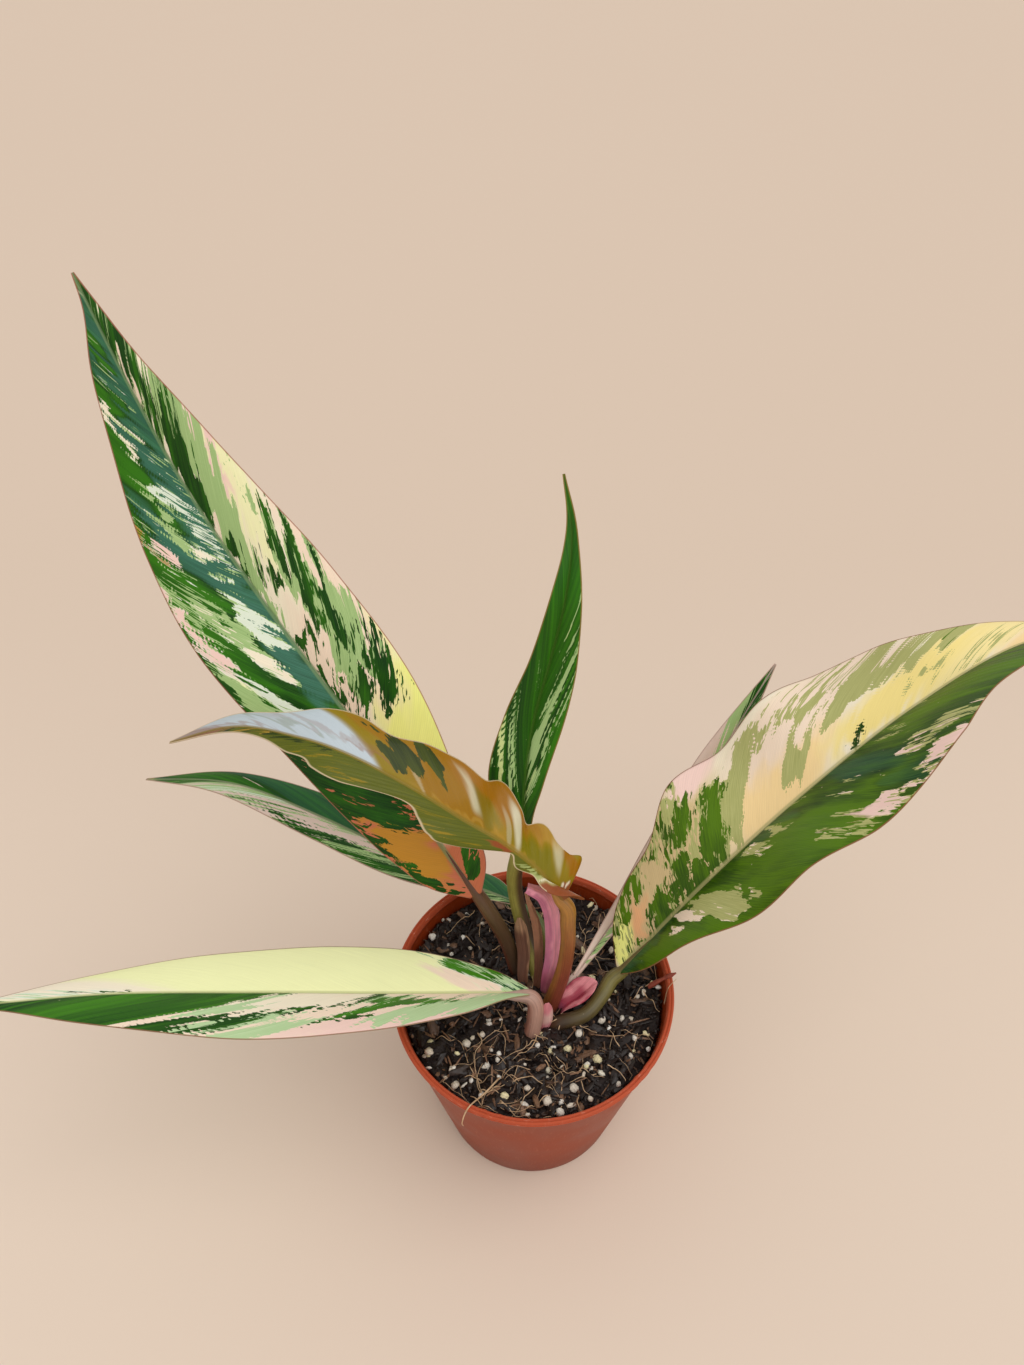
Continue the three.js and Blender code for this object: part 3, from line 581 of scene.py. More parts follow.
# The third layer: above zero a painted reflection of the sky, below zero a brighter green.
LAYERS = ("dark", "sage", "film")
WANDER_ACROSS = 1.3             # mm that a patch's outline strays from its ellipse
WANDER_ALONG = 2.4
WANDER_WAVES = (2.5, 9)         # mm, the shortest and the longest wave of that straying
OTHER_HALF = 50                 # mm between the waves used for the two halves
ALONG_VEINS = 0.45              # below 1 it draws the waves out along the side veins


def patch(u, out, wide, long, soft=0.35, pale=None, amount=1.0, **layers):
    """A soft ellipse on a blade. Its centre lies at u, out mm from the midrib, negative on the
    left. It reaches wide mm along the midrib and long mm along the side veins, soft being the
    share of that reach that its edge takes on either side. Inside it each named layer moves to
    its level, and the pale tissue moves by an amount towards a named colour."""
    return dict(u=u, out=out, wide=wide, long=long, soft=soft, pale=pale, amount=amount,
                layers=layers)


def paint(leaf, grid_u, grid_v, pale, patches):
    """The cover of the three layers and the pale tissue's colour at each point, by laying the
    patches on in their order. A patch stays on its half of the blade unless its out is 0. Its
    share falls softly from 1 to 0 where the ratio, hypot(along the midrib / wide, along the vein
    / long), passes from 1 - soft to 1 + soft, after both distances have strayed a little."""
    start, out = side_veins(leaf, grid_u, grid_v)
    long_out = ALONG_VEINS * out + np.where(grid_v < 0, OTHER_HALF, 0)
    wander = leaf.get("wander", 1)
    start = start + wander * WANDER_ACROSS * wave_field(start, long_out, 1, *WANDER_WAVES)
    out = out + wander * WANDER_ALONG * wave_field(start, long_out, 2, *WANDER_WAVES)
    cover = np.zeros(grid_u.shape + (len(LAYERS),))
    colour = np.zeros(grid_u.shape + (4,)) + np.array(PALE[pale])
    for one in patches:
        side = np.sign(one["out"])
        centre_u = np.array(one["u"])
        centre_v = one["out"] / half_width(leaf, centre_u, side)
        centre_start, centre_out = side_veins(leaf, centre_u, centre_v)
        ratio = np.hypot((start - centre_start) / one["wide"], (out - centre_out) / one["long"])
        share = (1 - step(ratio, 1 - one["soft"], 1 + one["soft"])) * (grid_v * side >= 0)
        for layer, level in one["layers"].items():
            held = cover[..., LAYERS.index(layer)]
            held += (level - held) * share
        if one["pale"]:
            colour += (np.array(PALE[one["pale"]]) - colour) * (share * one["amount"])[..., None]
    return cover, colour


print("pale tissue colours:", ", ".join(PALE))


# %% [markdown]
# ## The blade's material
#
# The mesh carries four attributes: where the side vein through a point starts and how far the
# point is from the midrib, its distance from margin and midrib, the cover of the three layers, and
# the colour of the pale tissue. Voronoi cells stretched along the side veins give every cell its
# own number, and the tissue is dark where the share is above that number. Two sizes of cell
# together make both the big steps and the fine streaks.

# %% Blade material
VEIN_LINES = 0.8                # mm between the fine veins that run side by side in the sheet
BROAD_CLOUDS = (0.12, 0.05, 1)  # waves a mm, across the side veins and along them
HAIR_STREAKS = (2.6, 0.12, 1)


def leaf_cells(look, veins, shift, coarse=0.55, fine=1.6):
    """A number from 0 to 1 for each point, the same within one cell of the tissue: the mean of a
    coarse and a fine net of cells, both four times longer along the side veins than across."""
    warp = look.noise(look.scaled(veins, (0.5, 0.25, 1)), 1.0, 3, "Color")
    bent = look.shifted(look.scaled(warp, (1.6, 3.0, 0)), veins)
    moved = look.shifted(bent, shift)
    coarse_cell = look.parts(look.cells(look.scaled(moved, (coarse, coarse * 0.25, 1)), 1.0))[0]
    fine_cell = look.parts(look.cells(look.scaled(moved, (fine, fine * 0.25, 1)), 1.0))[1]
    return look.math("MULTIPLY", look.math("ADD", coarse_cell, fine_cell), 0.5)


def tissue(look, share, cell):
    """1 where the share of this tissue is above the cell's number, with a thin soft edge."""
    stretched = look.math("MULTIPLY_ADD", share, 1.16, -0.08)
    return look.smooth(look.math("SUBTRACT", stretched, cell), -0.03, 0.03)


def specks(look, spacing_mm, radius_mm, kept):
    """1 on small round specks scattered over the surface, of which the share kept is drawn."""
    scale = 1 / (spacing_mm * MM)
    near = look.cells(look.place(), scale, "Distance")
    chance = look.parts(look.cells(look.place(), scale))[0]
    radius = radius_mm / spacing_mm
    return look.math("MULTIPLY", look.smooth(near, radius * 1.3, radius * 0.7),
                     look.math("LESS_THAN", chance, kept))


def blade_look(name, dark, bright, sage, rib, margin, under, reflection_tint, roughness=0.38, coat=0.03):
    """The finish of one blade, from its greens, the colours of its midrib, margin and underside,
    and the reflection tint, the colour of a painted reflection of the sky that turns the dark
    tissue paler and bluer. It is laid on in turn: pale, sage, dark, fine veins, specks, midrib,
    margin. The underside is half its own colour and half the pattern above it."""
    look = Look(name, Coat_Weight=coat, Coat_Roughness=0.16, Specular_IOR_Level=0.2)
    veins = look.attribute("veins")
    edge, rib_out, upper_side = look.parts(look.attribute("sites"))
    dark_share, sage_share, film = look.parts(look.attribute("cover"))
    pale = look.attribute("pale", "Color")
    vein_start = look.parts(veins)[0]

    broad = look.noise(look.scaled(veins, BROAD_CLOUDS), 1.0, 3)
    hair = look.noise(look.scaled(veins, HAIR_STREAKS), 1.0, 2)
    sage_tone = look.mix(hair, sage[0], sage[1])
    sage_cell = leaf_cells(look, veins, (311, 173, 7), 0.45, 1.3)
    base = look.mix(tissue(look, sage_share, sage_cell), pale, sage_tone)
    # Below zero the third layer makes the dark green brighter.
    brightened = look.math("MULTIPLY", film, -1.0, clamp=True)
    streaky = look.math("ADD", look.smooth(broad, 0.42, 0.72, 0.0, 0.6),
                        look.smooth(hair, 0.35, 0.75, 0.0, 0.4))
    brightness = look.math("ADD", streaky, brightened, clamp=True)
    dark_tone = look.mix(brightness, dark, bright)
    # Painted reflection of the sky: above zero the third layer turns the dark green towards the
    # reflection tint.
    painted_reflection = look.math("MULTIPLY", look.math("MAXIMUM", film, 0.0),
                     look.smooth(hair, 0.2, 0.8, 0.55, 1.0))
    dark_tone = look.mix(painted_reflection, dark_tone, reflection_tint)
    base = look.mix(tissue(look, dark_share, leaf_cells(look, veins, (0, 0, 0))), base, dark_tone)

    ripple = look.math("SINE", look.math("MULTIPLY", vein_start, 2 * math.pi / VEIN_LINES))
    streak = look.math("MULTIPLY_ADD", ripple, 0.025, look.smooth(hair, 0.0, 1.0, 0.92, 1.06))
    base = look.darkened(base, streak)
    base = look.mix(look.math("MULTIPLY", specks(look, 4.0, 0.28, 0.12), 0.35), base, pale)
    base = look.mix(look.smooth(rib_out, 0.85, 0.35, 0.0, 0.75), base, rib)
    base = look.mix(look.smooth(edge, 0.55, 0.15, 0.0, 0.9), base, margin)
    look.link("Base Color", look.mix(upper_side, look.mix(0.5, base, under), base))
    gloss = look.smooth(broad, 0.3, 0.7, roughness + 0.15, roughness + 0.28)
    look.link("Roughness", look.math("MULTIPLY_ADD", upper_side, -0.2, gloss))
    look.bump(look.math("MULTIPLY_ADD", ripple, 0.25, hair), 0.06 * MM, 0.6)
    return look


DARK_GREEN = srgb(5, 54, 2)
BRIGHT_GREEN = srgb(50, 118, 2)
# The blue-green of a reflection of the sky, painted on dark tissue.
REFLECTED_BLUE_GREEN = srgb(66, 124, 104)
SAGES = (srgb(140, 180, 106), srgb(190, 214, 150))
UNDERSIDE = srgb(158, 172, 128)
marble = dict(dark=DARK_GREEN, bright=BRIGHT_GREEN, sage=SAGES, under=UNDERSIDE, reflection_tint=REFLECTED_BLUE_GREEN)
print("greens of the marbled leaves:", ", ".join(marble))


# %% Blade builder
BLADE_THICKNESS = 0.7
MARGIN_THICKNESS = 0.3
VEIN_SPACING = 5.5              # mm between side veins along the midrib
VEIN_RELIEF = 0.13              # mm that the sheet swells between two side veins
ROW_CROWDING = 0.3              # 0 would set the rows evenly, 1 would close them up at both ends
COLUMN_CROWDING = 1.35          # 1 would set the columns evenly
HALF_SHIFT = 37.0               # sets the left and the right half apart in the noise
NO_LINE = 5.0                   # mm from the margin, where its fine line is not drawn


def add_blade(node, leaf, look, pale, patches, thickness=BLADE_THICKNESS, veined=1.0):
    """A closed sheet: upper and lower face on the same grid of u by v, joined round the margin.
    Rows lie closer at base and tip, u = t - crowding * sin(2 pi t) / (2 pi), columns closer at the
    midrib, v = t ^ crowding. Both faces rise by the swell between side veins, |sin|^0.7 of the
    vein's start. The midrib is a channel above and a ridge below, each a bell exp(-(out / w)^2)
    that gets lower towards the tip."""
    rows, half = leaf["fineness"]
    t = np.linspace(0, 1, rows)
    u_line = t - ROW_CROWDING * np.sin(2 * np.pi * t) / (2 * np.pi)
    outward = np.linspace(0, 1, half + 1) ** COLUMN_CROWDING
    v_line = np.concatenate([-outward[:0:-1], outward])
    u, v = np.meshgrid(u_line, v_line, indexing="ij")
    middle = blade_middle(leaf, u, v)
    normal = unit(np.cross(np.gradient(middle, axis=1), np.gradient(middle, axis=0)))
    start, out = side_veins(leaf, u, v)
    width = half_width(leaf, u, v)
    edge = width - out
    rib_width = 0.5 + leaf["rib"] * (1 - 0.75 * u)
    swell = np.abs(np.sin(np.pi * start / VEIN_SPACING)) ** 0.7 - 0.6
    relief = veined * VEIN_RELIEF * swell * step(out, 1, 5) * step(edge, 0, 4)
    channel = -0.35 * leaf["rib"] * (1 - 0.6 * u) * np.exp(-(out / (0.55 * rib_width)) ** 2)
    ridge = leaf["rib"] * (1 - 0.8 * u) * np.exp(-(out / rib_width) ** 2)
    thick = MARGIN_THICKNESS + (thickness - MARGIN_THICKNESS) * step(edge, 0, 3)
    upper = middle + normal * (relief + channel + thick / 2)[..., None]
    lower = middle + normal * (relief - ridge - thick / 2)[..., None]

    columns = len(v_line)
    number = np.arange(rows * columns).reshape(rows, columns)
    rim = np.concatenate([number[0, :-1], number[:-1, -1], number[-1, :0:-1], number[:0:-1, 0]])
    after = np.roll(rim, -1)
    band = np.stack([rim, rim + number.size, after + number.size, after], axis=-1)
    faces = np.concatenate([grid_faces(rows, columns),
                            grid_faces(rows, columns, number.size, flip=True), band])
    cover, colour = paint(leaf, u, v, pale, patches)
    veins = np.stack([start, out, np.where(v < 0, 0.0, HALF_SHIFT)], axis=-1)
    lined = np.where(u < leaf.get("plain_base", 0), NO_LINE, edge)
    sites = np.stack([lined, out / rib_width, np.ones_like(u)], axis=-1)
    attributes = {
        "veins": np.concatenate([veins.reshape(-1, 3)] * 2),
        "sites": np.concatenate([sites.reshape(-1, 3), (sites * (1, 1, 0)).reshape(-1, 3)]),
        "cover": np.concatenate([cover.reshape(-1, 3)] * 2),
        "pale": np.concatenate([colour.reshape(-1, 4)] * 2),
    }
    points = np.concatenate([upper.reshape(-1, 3), lower.reshape(-1, 3)])
    print(node, "has", len(faces), "faces and is", round(leaf["length"]), "mm long")
    add_piece("fine_" + node, points, faces, [look], node, attributes=attributes)


# %% [markdown]
# ## The tall leaf
#
# The largest leaf faces the front. Its left half is dark with light streaks and a blue-green
# reflection of the sky painted in, its right half is cream and yellow with green mottling, and its
# lowest part, shaded by the leaf above, is rose and orange with ragged dark patches, that shade
# being painted into its rose and orange.

# %% Tall leaf
tall_look = blade_look("tall blade", rib=srgb(128, 156, 110), margin=srgb(172, 112, 92), **marble)
tall_base = [
    # Painted shade: the rose and orange here lay the shade of the leaf above over the tissue's own
    # colour.
    patch(0.05, -8, 44, 40, pale="rose"), patch(0.088, -10.5, 14, 9, soft=0.25, pale="orange"),
    patch(0.018, -6, 2, 2.5, dark=0.8), patch(0.037, -12, 2.5, 2.5, dark=0.8),
    patch(0.052, -14.5, 4, 2, dark=0.8), patch(0.085, -18, 4, 2.2, dark=0.85),
    patch(0.108, -20, 4, 2.2, dark=0.85), patch(0.135, -22.5, 7, 2, dark=0.8),
    patch(0.13, -4, 7, 4.5, dark=0.9), patch(0.16, -12, 7, 6, dark=0.85, sage=0.3),
    patch(0.178, -20, 7, 7, dark=0.88), patch(0.205, -26.5, 12, 4, dark=0.8),
    patch(0.24, -28, 14, 4, dark=0.85), patch(0.2, -12, 22, 14, dark=0.75),
    patch(0.04, 8, 16, 18, pale="rose"), patch(0.032, 7, 2.5, 5, dark=0.85),
    patch(0.052, 9, 2.5, 4, dark=0.75),
]
tall_left = [
    patch(0.6, -1, 122, 90, soft=0.06, dark=0.88, sage=0.75, pale="ivory"),
    patch(0.34, -24, 18, 8, film=-0.4), patch(0.45, -22, 26, 7, film=-0.5),
    patch(0.62, -20, 40, 8, film=-0.5), patch(0.67, -12.5, 26, 5, dark=1, film=-0.85),
    # Painted reflection: above zero the third layer puts the sky's blue-green reflection along the
    # midrib.
    patch(0.33, -4, 26, 5, film=0.95, dark=1), patch(0.45, -6, 14, 6, film=0.9),
    patch(0.5, -11, 9, 7, film=0.9), patch(0.58, -16.5, 14, 4, film=0.9, dark=0.8),
    patch(0.64, -4, 52, 6.5, film=0.85), patch(0.86, -3.5, 50, 5, film=0.65, dark=0.95),
    patch(0.327, -26, 5, 5, dark=0.1, sage=0.95, pale="lime"),
    patch(0.314, -19, 3.5, 7, dark=0.25, sage=0.4),
    patch(0.346, -12, 4, 4.5, dark=0.0, sage=0.1, pale="cream"),
    patch(0.372, -7.5, 5, 3.5, dark=0.05, sage=0.15), patch(0.408, -7, 6, 4.5, dark=0.1, sage=0.25),
    patch(0.42, -17.5, 8, 6.5, dark=0.05, sage=0.8, pale="cream"),
    patch(0.405, -26, 9, 2.4, dark=0.03, sage=0.1, pale="pink"),
    patch(0.45, -28.5, 13, 2.4, dark=0.03, sage=0.15, pale="pink"),
    patch(0.46, -25, 12, 2.6, dark=0.5, sage=0.85), patch(0.48, -19, 13, 3, dark=0.6),
    patch(0.516, -8.6, 4, 1.8, dark=0.05, sage=0.2, pale="cream"),
    patch(0.552, -12.3, 8, 2.1, dark=0.05, sage=0.9),
    patch(0.55, -19, 6, 1.8, dark=0.25, sage=0.2, pale="pink"),
    patch(0.592, -23, 9, 1.6, dark=0.4, sage=0.1, pale="bronze"),
    patch(0.62, -12.3, 8, 1.8, dark=0.1, sage=0.95), patch(0.633, -9.3, 5, 1.6, dark=0.1, sage=0.2),
    patch(0.745, -10, 14, 1.8, dark=0.05, sage=0.3, pale="cream"),
    patch(0.57, -4, 24, 3.2, dark=0.5, sage=0.3), patch(0.475, -8, 5, 2, dark=0.35, sage=0.3),
    patch(0.67, -2.6, 12, 2, dark=0.7), patch(0.84, -5, 20, 1.8, dark=0.7),
    patch(0.72, -12.5, 15, 4, film=-0.6, dark=0.97),
    patch(0.8, -8.5, 13, 2.6, film=-0.6, dark=0.95), patch(0.88, -5, 12, 2, film=-0.6),
    patch(0.745, -10.5, 14, 1.4, dark=0.1, sage=0.3, pale="cream"),
]
tall_right = [
    patch(0.2, 20, 20, 17, pale="yellow"), patch(0.3, 6, 18, 16, pale="blush"),
    patch(0.38, 24, 24, 12, pale="blush"), patch(0.5, 19, 26, 8, pale="cream"),
    patch(0.6, 18, 26, 7, pale="straw"), patch(0.7, 16.8, 18, 2.5, pale="pink"),
    patch(0.345, 18, 9, 5.5, dark=0.1, sage=0.95), patch(0.335, 24, 12, 6, dark=0.2, sage=0.8),
    patch(0.355, 28.5, 12, 3, dark=0.1, sage=0.65), patch(0.305, 15, 7, 6.5, dark=0.35, sage=0.8),
    patch(0.42, 16.5, 11, 3.5, dark=0.1, sage=0.95), patch(0.4, 21, 13, 4.5, dark=0.4, sage=0.85),
    patch(0.42, 2.2, 15, 3, sage=0.7), patch(0.365, 1.5, 6, 2, sage=0.5),
    patch(0.255, 8, 6, 6, soft=0.6, dark=0.55), patch(0.243, 11, 2.5, 2, dark=0.9),
    patch(0.27, 15, 4, 4, dark=0.8), patch(0.281, 5, 4, 3, dark=0.7),
    patch(0.3, 1.3, 15, 1.2, dark=0.85), patch(0.352, 4.5, 3.5, 2.6, dark=0.9),
    patch(0.335, 7.5, 6, 2.5, dark=0.5), patch(0.345, 13, 4, 1.8, dark=0.55),
    patch(0.262, 22, 6, 5.5, soft=0.6, dark=0.62), patch(0.285, 26, 8, 3.2, soft=0.6, dark=0.68),
    patch(0.3, 30, 12, 2, dark=0.5), patch(0.37, 16.5, 5, 2.6, dark=0.75),
    patch(0.383, 23, 7, 2.6, dark=0.88), patch(0.405, 19, 5, 2, dark=0.75),
    patch(0.43, 23, 5, 1.6, dark=0.6), patch(0.425, 11.3, 4, 2.2, dark=0.9, sage=0.6),
    patch(0.447, 8.6, 6, 2.6, dark=0.5, sage=0.5), patch(0.462, 12, 4, 1.6, dark=0.45),
    patch(0.47, 18.3, 6, 2.2, dark=0.75), patch(0.49, 21.5, 7, 1.8, dark=0.6),
    patch(0.55, 20.6, 18, 0.7, sage=0.7), patch(0.5, 5, 12, 4, sage=0.97),
    patch(0.56, 8, 20, 5.5, sage=0.97), patch(0.66, 12, 22, 4.5, sage=0.95),
    patch(0.735, 7.5, 16, 5, sage=0.85, dark=0.15), patch(0.485, 2.2, 9, 2.6, dark=0.97),
    patch(0.59, 2.6, 12, 3.2, dark=0.98), patch(0.655, 4.5, 19, 5, soft=0.15, dark=0.99),
    patch(0.535, 1.8, 5, 2, dark=0, sage=0, pale="blush"),
    patch(0.79, 4, 20, 5, dark=0.6, sage=0.8), patch(0.87, 4, 24, 6, dark=0.8, sage=0.9),
    patch(0.77, 11, 12, 2.5, dark=0.45, sage=0.85), patch(0.95, 1, 26, 5, dark=0.78, sage=0.9),
    patch(0.8, 1.3, 14, 1.3, soft=0.2, dark=0, sage=0, pale="blush"),
    patch(0.985, 0, 8, 6, dark=0.5, sage=0.3, pale="olive"),
]
add_blade("blade_tall", LEAVES["tall"], tall_look, "cream", tall_base + tall_left + tall_right)

# %% [markdown]
# ## The caramel leaf
#
# The newest leaf arches to the left. It is still tender and glossy: the far half gold to caramel
# with one dark green patch and beyond it a pale reflection of the sky painted in, the near half
# olive, the lobes at its base wine-coloured, and its wavy margin finely edged with cream. Narrow
# highlights on its waves are painted in as well.

# %% Caramel leaf
caramel_look = blade_look("caramel blade", dark=srgb(40, 52, 12), bright=srgb(78, 88, 16),
                          sage=(srgb(44, 68, 4), srgb(124, 122, 28)), rib=srgb(146, 122, 44),
                          margin=srgb(214, 192, 156), under=srgb(128, 84, 44),
                          reflection_tint=srgb(150, 160, 140), roughness=0.28, coat=0.1)
caramel_marks = [
    patch(0.045, 12.5, 8, 4, pale="caramel"), patch(0.15, 14, 10, 4, pale="bronze"),
    patch(0.2, 11, 8, 2, pale="bronze", amount=0.6), patch(0.31, 15, 24, 8, pale="caramel"),
    patch(0.44, 9, 22, 12, pale="caramel", amount=0.7),
    patch(0.275, 4, 4, 6, pale="bronze", amount=0.6),
    patch(0.3, 0.8, 34, 1.0, pale="bronze", amount=0.6),
    patch(0.33, 7, 8, 5, pale="olive", amount=0.5), patch(0.14, 4, 12, 4, pale="olive", amount=0.5),
    # Painted highlights: reflections on the glossy waves, laid into the colour.
    patch(0.09, 10, 3, 4, soft=0.6, pale="painted highlight", amount=0.5),
    patch(0.232, 8, 2.5, 6.5, soft=0.5, pale="painted highlight", amount=0.8),
    patch(0.25, 5, 1.4, 5, pale="painted highlight", amount=0.3),
    patch(0.385, 9.5, 2.6, 5.5, soft=0.5, pale="painted highlight", amount=0.6),
    patch(0.5, 5, 1, 4.5, pale="painted highlight", amount=0.3),
    patch(0.012, 2, 3.4, 3.4, soft=0.2, pale="wine"),
    patch(0.6, 12.5, 7, 3, pale="caramel", amount=0.6),
    patch(0.02, 4.6, 1, 1.1, pale="cream", amount=0.8),
    patch(0.031, 2.9, 1, 1.1, pale="cream", amount=0.8),
    patch(0.042, 1.2, 1, 1.1, pale="cream", amount=0.8),
    # Painted reflection of the sky over the far half towards the tip.
    patch(0.83, 3, 41, 40, soft=0.06, pale="painted sky reflection", amount=0.95),
    patch(0.68, 6, 22, 1.0, pale="brown", amount=0.3),
    patch(0.6, 4.5, 10, 0.6, pale="brown", amount=0.5),
    patch(0.78, 4.5, 14, 0.8, pale="olive", amount=0.35),
    patch(0.87, 1.5, 12, 0.5, pale="brown", amount=0.4),
    patch(0.97, 1, 12, 8, pale="brown", amount=0.7), patch(0.49, 12.8, 6, 4, soft=0.2, dark=0.97),
    patch(0.53, 9.2, 6.5, 4, soft=0.2, dark=0.98), patch(0.552, 6.4, 4, 2.6, soft=0.2, dark=0.97),
    patch(0.6, 13, 6, 1.0, dark=0.55), patch(0.5, -1, 400, 90, sage=0.96, pale="olive"),
    patch(0.04, -4, 12, 14, soft=0.2, sage=0, pale="wine"),
    patch(0.225, -2, 7, 1.6, sage=0, pale="wine"),
    patch(0.11, -2.5, 9, 1.6, sage=0.3, pale="streak", amount=0.5),
    patch(0.056, -0.6, 1.2, 0.9, sage=0, pale="cream", amount=0.8),
    patch(0.07, -1.6, 1.4, 0.8, sage=0, pale="cream", amount=0.8),
    patch(0.088, -2.6, 1.8, 0.7, sage=0, pale="cream", amount=0.7),
    patch(0.4, -4, 10, 2, sage=0.6, pale="gold", amount=0.5),
    patch(0.3, -8, 9, 1.5, sage=0.5, pale="gold"), patch(0.53, -8, 10, 1.2, sage=0.4, pale="gold"),
    patch(0.66, -5, 14, 0.8, sage=0.5, pale="gold"), patch(0.75, -1.4, 28, 1.1, dark=0.7),
    patch(0.84, -2, 8, 1, sage=0.2, pale="bronze"), patch(0.97, -1, 16, 6, sage=0, pale="brown"),
]
add_blade("blade_caramel", LEAVES["caramel"], caramel_look, "gold", caramel_marks)

# %% [markdown]
# ## The right leaf
#
# The broadest blade leans to the right and waves. Its upper half is cream, peach and butter
# coloured with sage streaks that swing round with the veins, and dark green near the base. Its
# lower half is dark green, with one large cream-and-sage patch and pink ones further out.

# %% Right leaf
right_look = blade_look("right blade", dark=srgb(14, 50, 2), bright=srgb(84, 122, 0),
                        sage=(srgb(158, 162, 88), srgb(200, 198, 134)), rib=srgb(186, 180, 124),
                        # The tint after the underside is that of a painted reflection of the sky on
                        # dark tissue.
                        margin=srgb(150, 92, 62), under=UNDERSIDE, reflection_tint=srgb(46, 102, 70), coat=0)
right_upper = [
    patch(0.13, -12, 32, 30, pale="tan"), patch(0.35, -12, 24, 28, pale="peach"),
    patch(0.45, -30, 26, 14, pale="blush"), patch(0.58, -9, 34, 8, pale="butter"),
    patch(0.74, -8, 34, 10, pale="butter", amount=0.8), patch(0.93, -4, 26, 12, pale="peach"),
    patch(0.5, -33, 30, 6, sage=0.5), patch(0.68, -22, 24, 5, sage=0.5),
    patch(0.8, -8, 20, 5, sage=0.3), patch(0.245, -37, 8, 7, pale="pink"),
    patch(0.13, -14, 28, 26, soft=0.2, dark=0.42, sage=0.45, film=-0.3),
    patch(0.03, -7, 6, 8, dark=0.35, sage=0.3, pale="yellow"),
    patch(0.085, -20, 6, 5, dark=0.78, film=-0.9), patch(0.066, -16, 3, 5, dark=0.7, film=-0.6),
    patch(0.1, -8, 2.4, 7, dark=0.75, film=-0.6), patch(0.055, -4, 6, 2, dark=0.6),
    patch(0.072, -9.5, 4.5, 5, soft=0.5, dark=0.06, sage=0.0, pale="salmon", amount=0.9),
    patch(0.12, -16, 5, 5, dark=0.12, sage=0.2), patch(0.185, -12, 5, 9, dark=0.1, sage=0.5),
    patch(0.14, -5, 14, 4, dark=0.78), patch(0.165, -2, 14, 1.8, dark=0.9),
    patch(0.165, -12, 4, 3, dark=0.8), patch(0.2, -24, 3.5, 6, dark=0.75, film=-0.6),
    patch(0.198, -33, 4, 6, dark=0.4, sage=0.6),
    patch(0.235, -15, 6.5, 15, soft=0.25, dark=0.74, sage=0.85, film=-0.6),
    patch(0.285, -20, 4.5, 20, soft=0.25, dark=0.02, sage=0.93),
    patch(0.375, -34, 6, 3.5, sage=0.95), patch(0.4, -17, 6.5, 13, soft=0.25, sage=0.95),
    patch(0.44, -23, 3, 8, sage=0.3), patch(0.46, -37, 14, 5, sage=0.4),
    patch(0.53, -24, 8, 8.5, soft=0.25, sage=0.97), patch(0.55, -34, 12, 4, sage=0.5),
    patch(0.61, -21, 10, 3.2, sage=0.96), patch(0.7, -17.5, 11, 2.2, sage=0.95),
    patch(0.745, -17, 8, 2.2, dark=0.4, sage=0.9, film=-0.5),
    patch(0.66, -24.5, 20, 3, pale="blush"), patch(0.478, -3, 3, 2, dark=0.9),
    patch(0.465, -0.9, 7, 0.7, dark=0.8), patch(0.497, -5.4, 4, 0.7, dark=0.8),
    patch(0.65, -8.5, 12, 1.4, sage=0.6), patch(0.78, -6, 10, 1.2, sage=0.5),
]
right_lower = [
    patch(0.5, 1, 400, 200, dark=0.97, sage=0.75, pale="blush", film=-0.15),
    patch(0.1, 20, 14, 9, soft=0.6, film=-0.8), patch(0.3, 30, 30, 14, soft=0.6, film=-0.7),
    patch(0.3, 22, 12, 14, soft=0.6, film=-0.8), patch(0.68, 12, 30, 8, soft=0.6, film=-0.6),
    # Painted reflection: above zero the third layer puts a teal reflection of the sky on dark tissue.
    patch(0.45, 13, 9, 14, soft=0.5, film=0.55), patch(0.04, 3, 16, 4, soft=0.6, film=0.5),
    patch(0.28, 5, 12, 5, soft=0.6, film=0.4), patch(0.5, 34, 8, 8, soft=0.5, film=0.35),
    patch(0.175, 17, 6.5, 12, soft=0.25, dark=0.03, sage=0.85),
    patch(0.134, 12, 2.5, 7, dark=0.1, sage=0.1), patch(0.113, 13, 1.6, 5, dark=0.3, sage=0.3),
    patch(0.222, 26, 3, 3, dark=0.4, sage=0.6), patch(0.256, 9, 3.6, 7, dark=0.1, sage=0.7),
    patch(0.29, 7.5, 4, 5.5, dark=0.2, sage=0.7), patch(0.386, 17, 2.2, 6, dark=0.55),
    patch(0.35, 3, 8, 2.5, dark=0.75), patch(0.435, 18, 3, 8, dark=0.7),
    patch(0.38, 32, 7, 3.5, dark=0.6, sage=0.5, pale="olive"),
    patch(0.37, 37, 7, 3, dark=0.4, sage=0.85),
    patch(0.435, 35.5, 8, 2.8, dark=0.05, sage=0.1, pale="pink"),
    patch(0.48, 40, 12, 1.8, dark=0.1, sage=0.3, pale="pink"),
    patch(0.53, 8, 8, 7, dark=0.7, sage=0.8),
    patch(0.534, 25, 3.5, 2.4, dark=0, sage=0, pale="pink"),
    patch(0.6, 28, 15, 4.5, dark=0.45, sage=0.8, pale="pink"),
    patch(0.566, 37, 9, 3.6, dark=0.05, sage=0.15, pale="pink"), patch(0.61, 1.5, 2, 1.5, dark=0.2),
    patch(0.95, 3, 20, 8, dark=0.9),
]
add_blade("blade_right", LEAVES["right"], right_look, "cream", right_upper + right_lower)

# %% [markdown]
# ## The flat leaf and the narrow ones
#
# The flat leaf has a pale lime upper half and a lower half that goes from pink and sage to solid
# dark green. The upright leaf is green with thin cream streaks, the low one half pink and half dark
# green under a painted blue-green reflection of the sky, and the hidden one pale with a green tip.

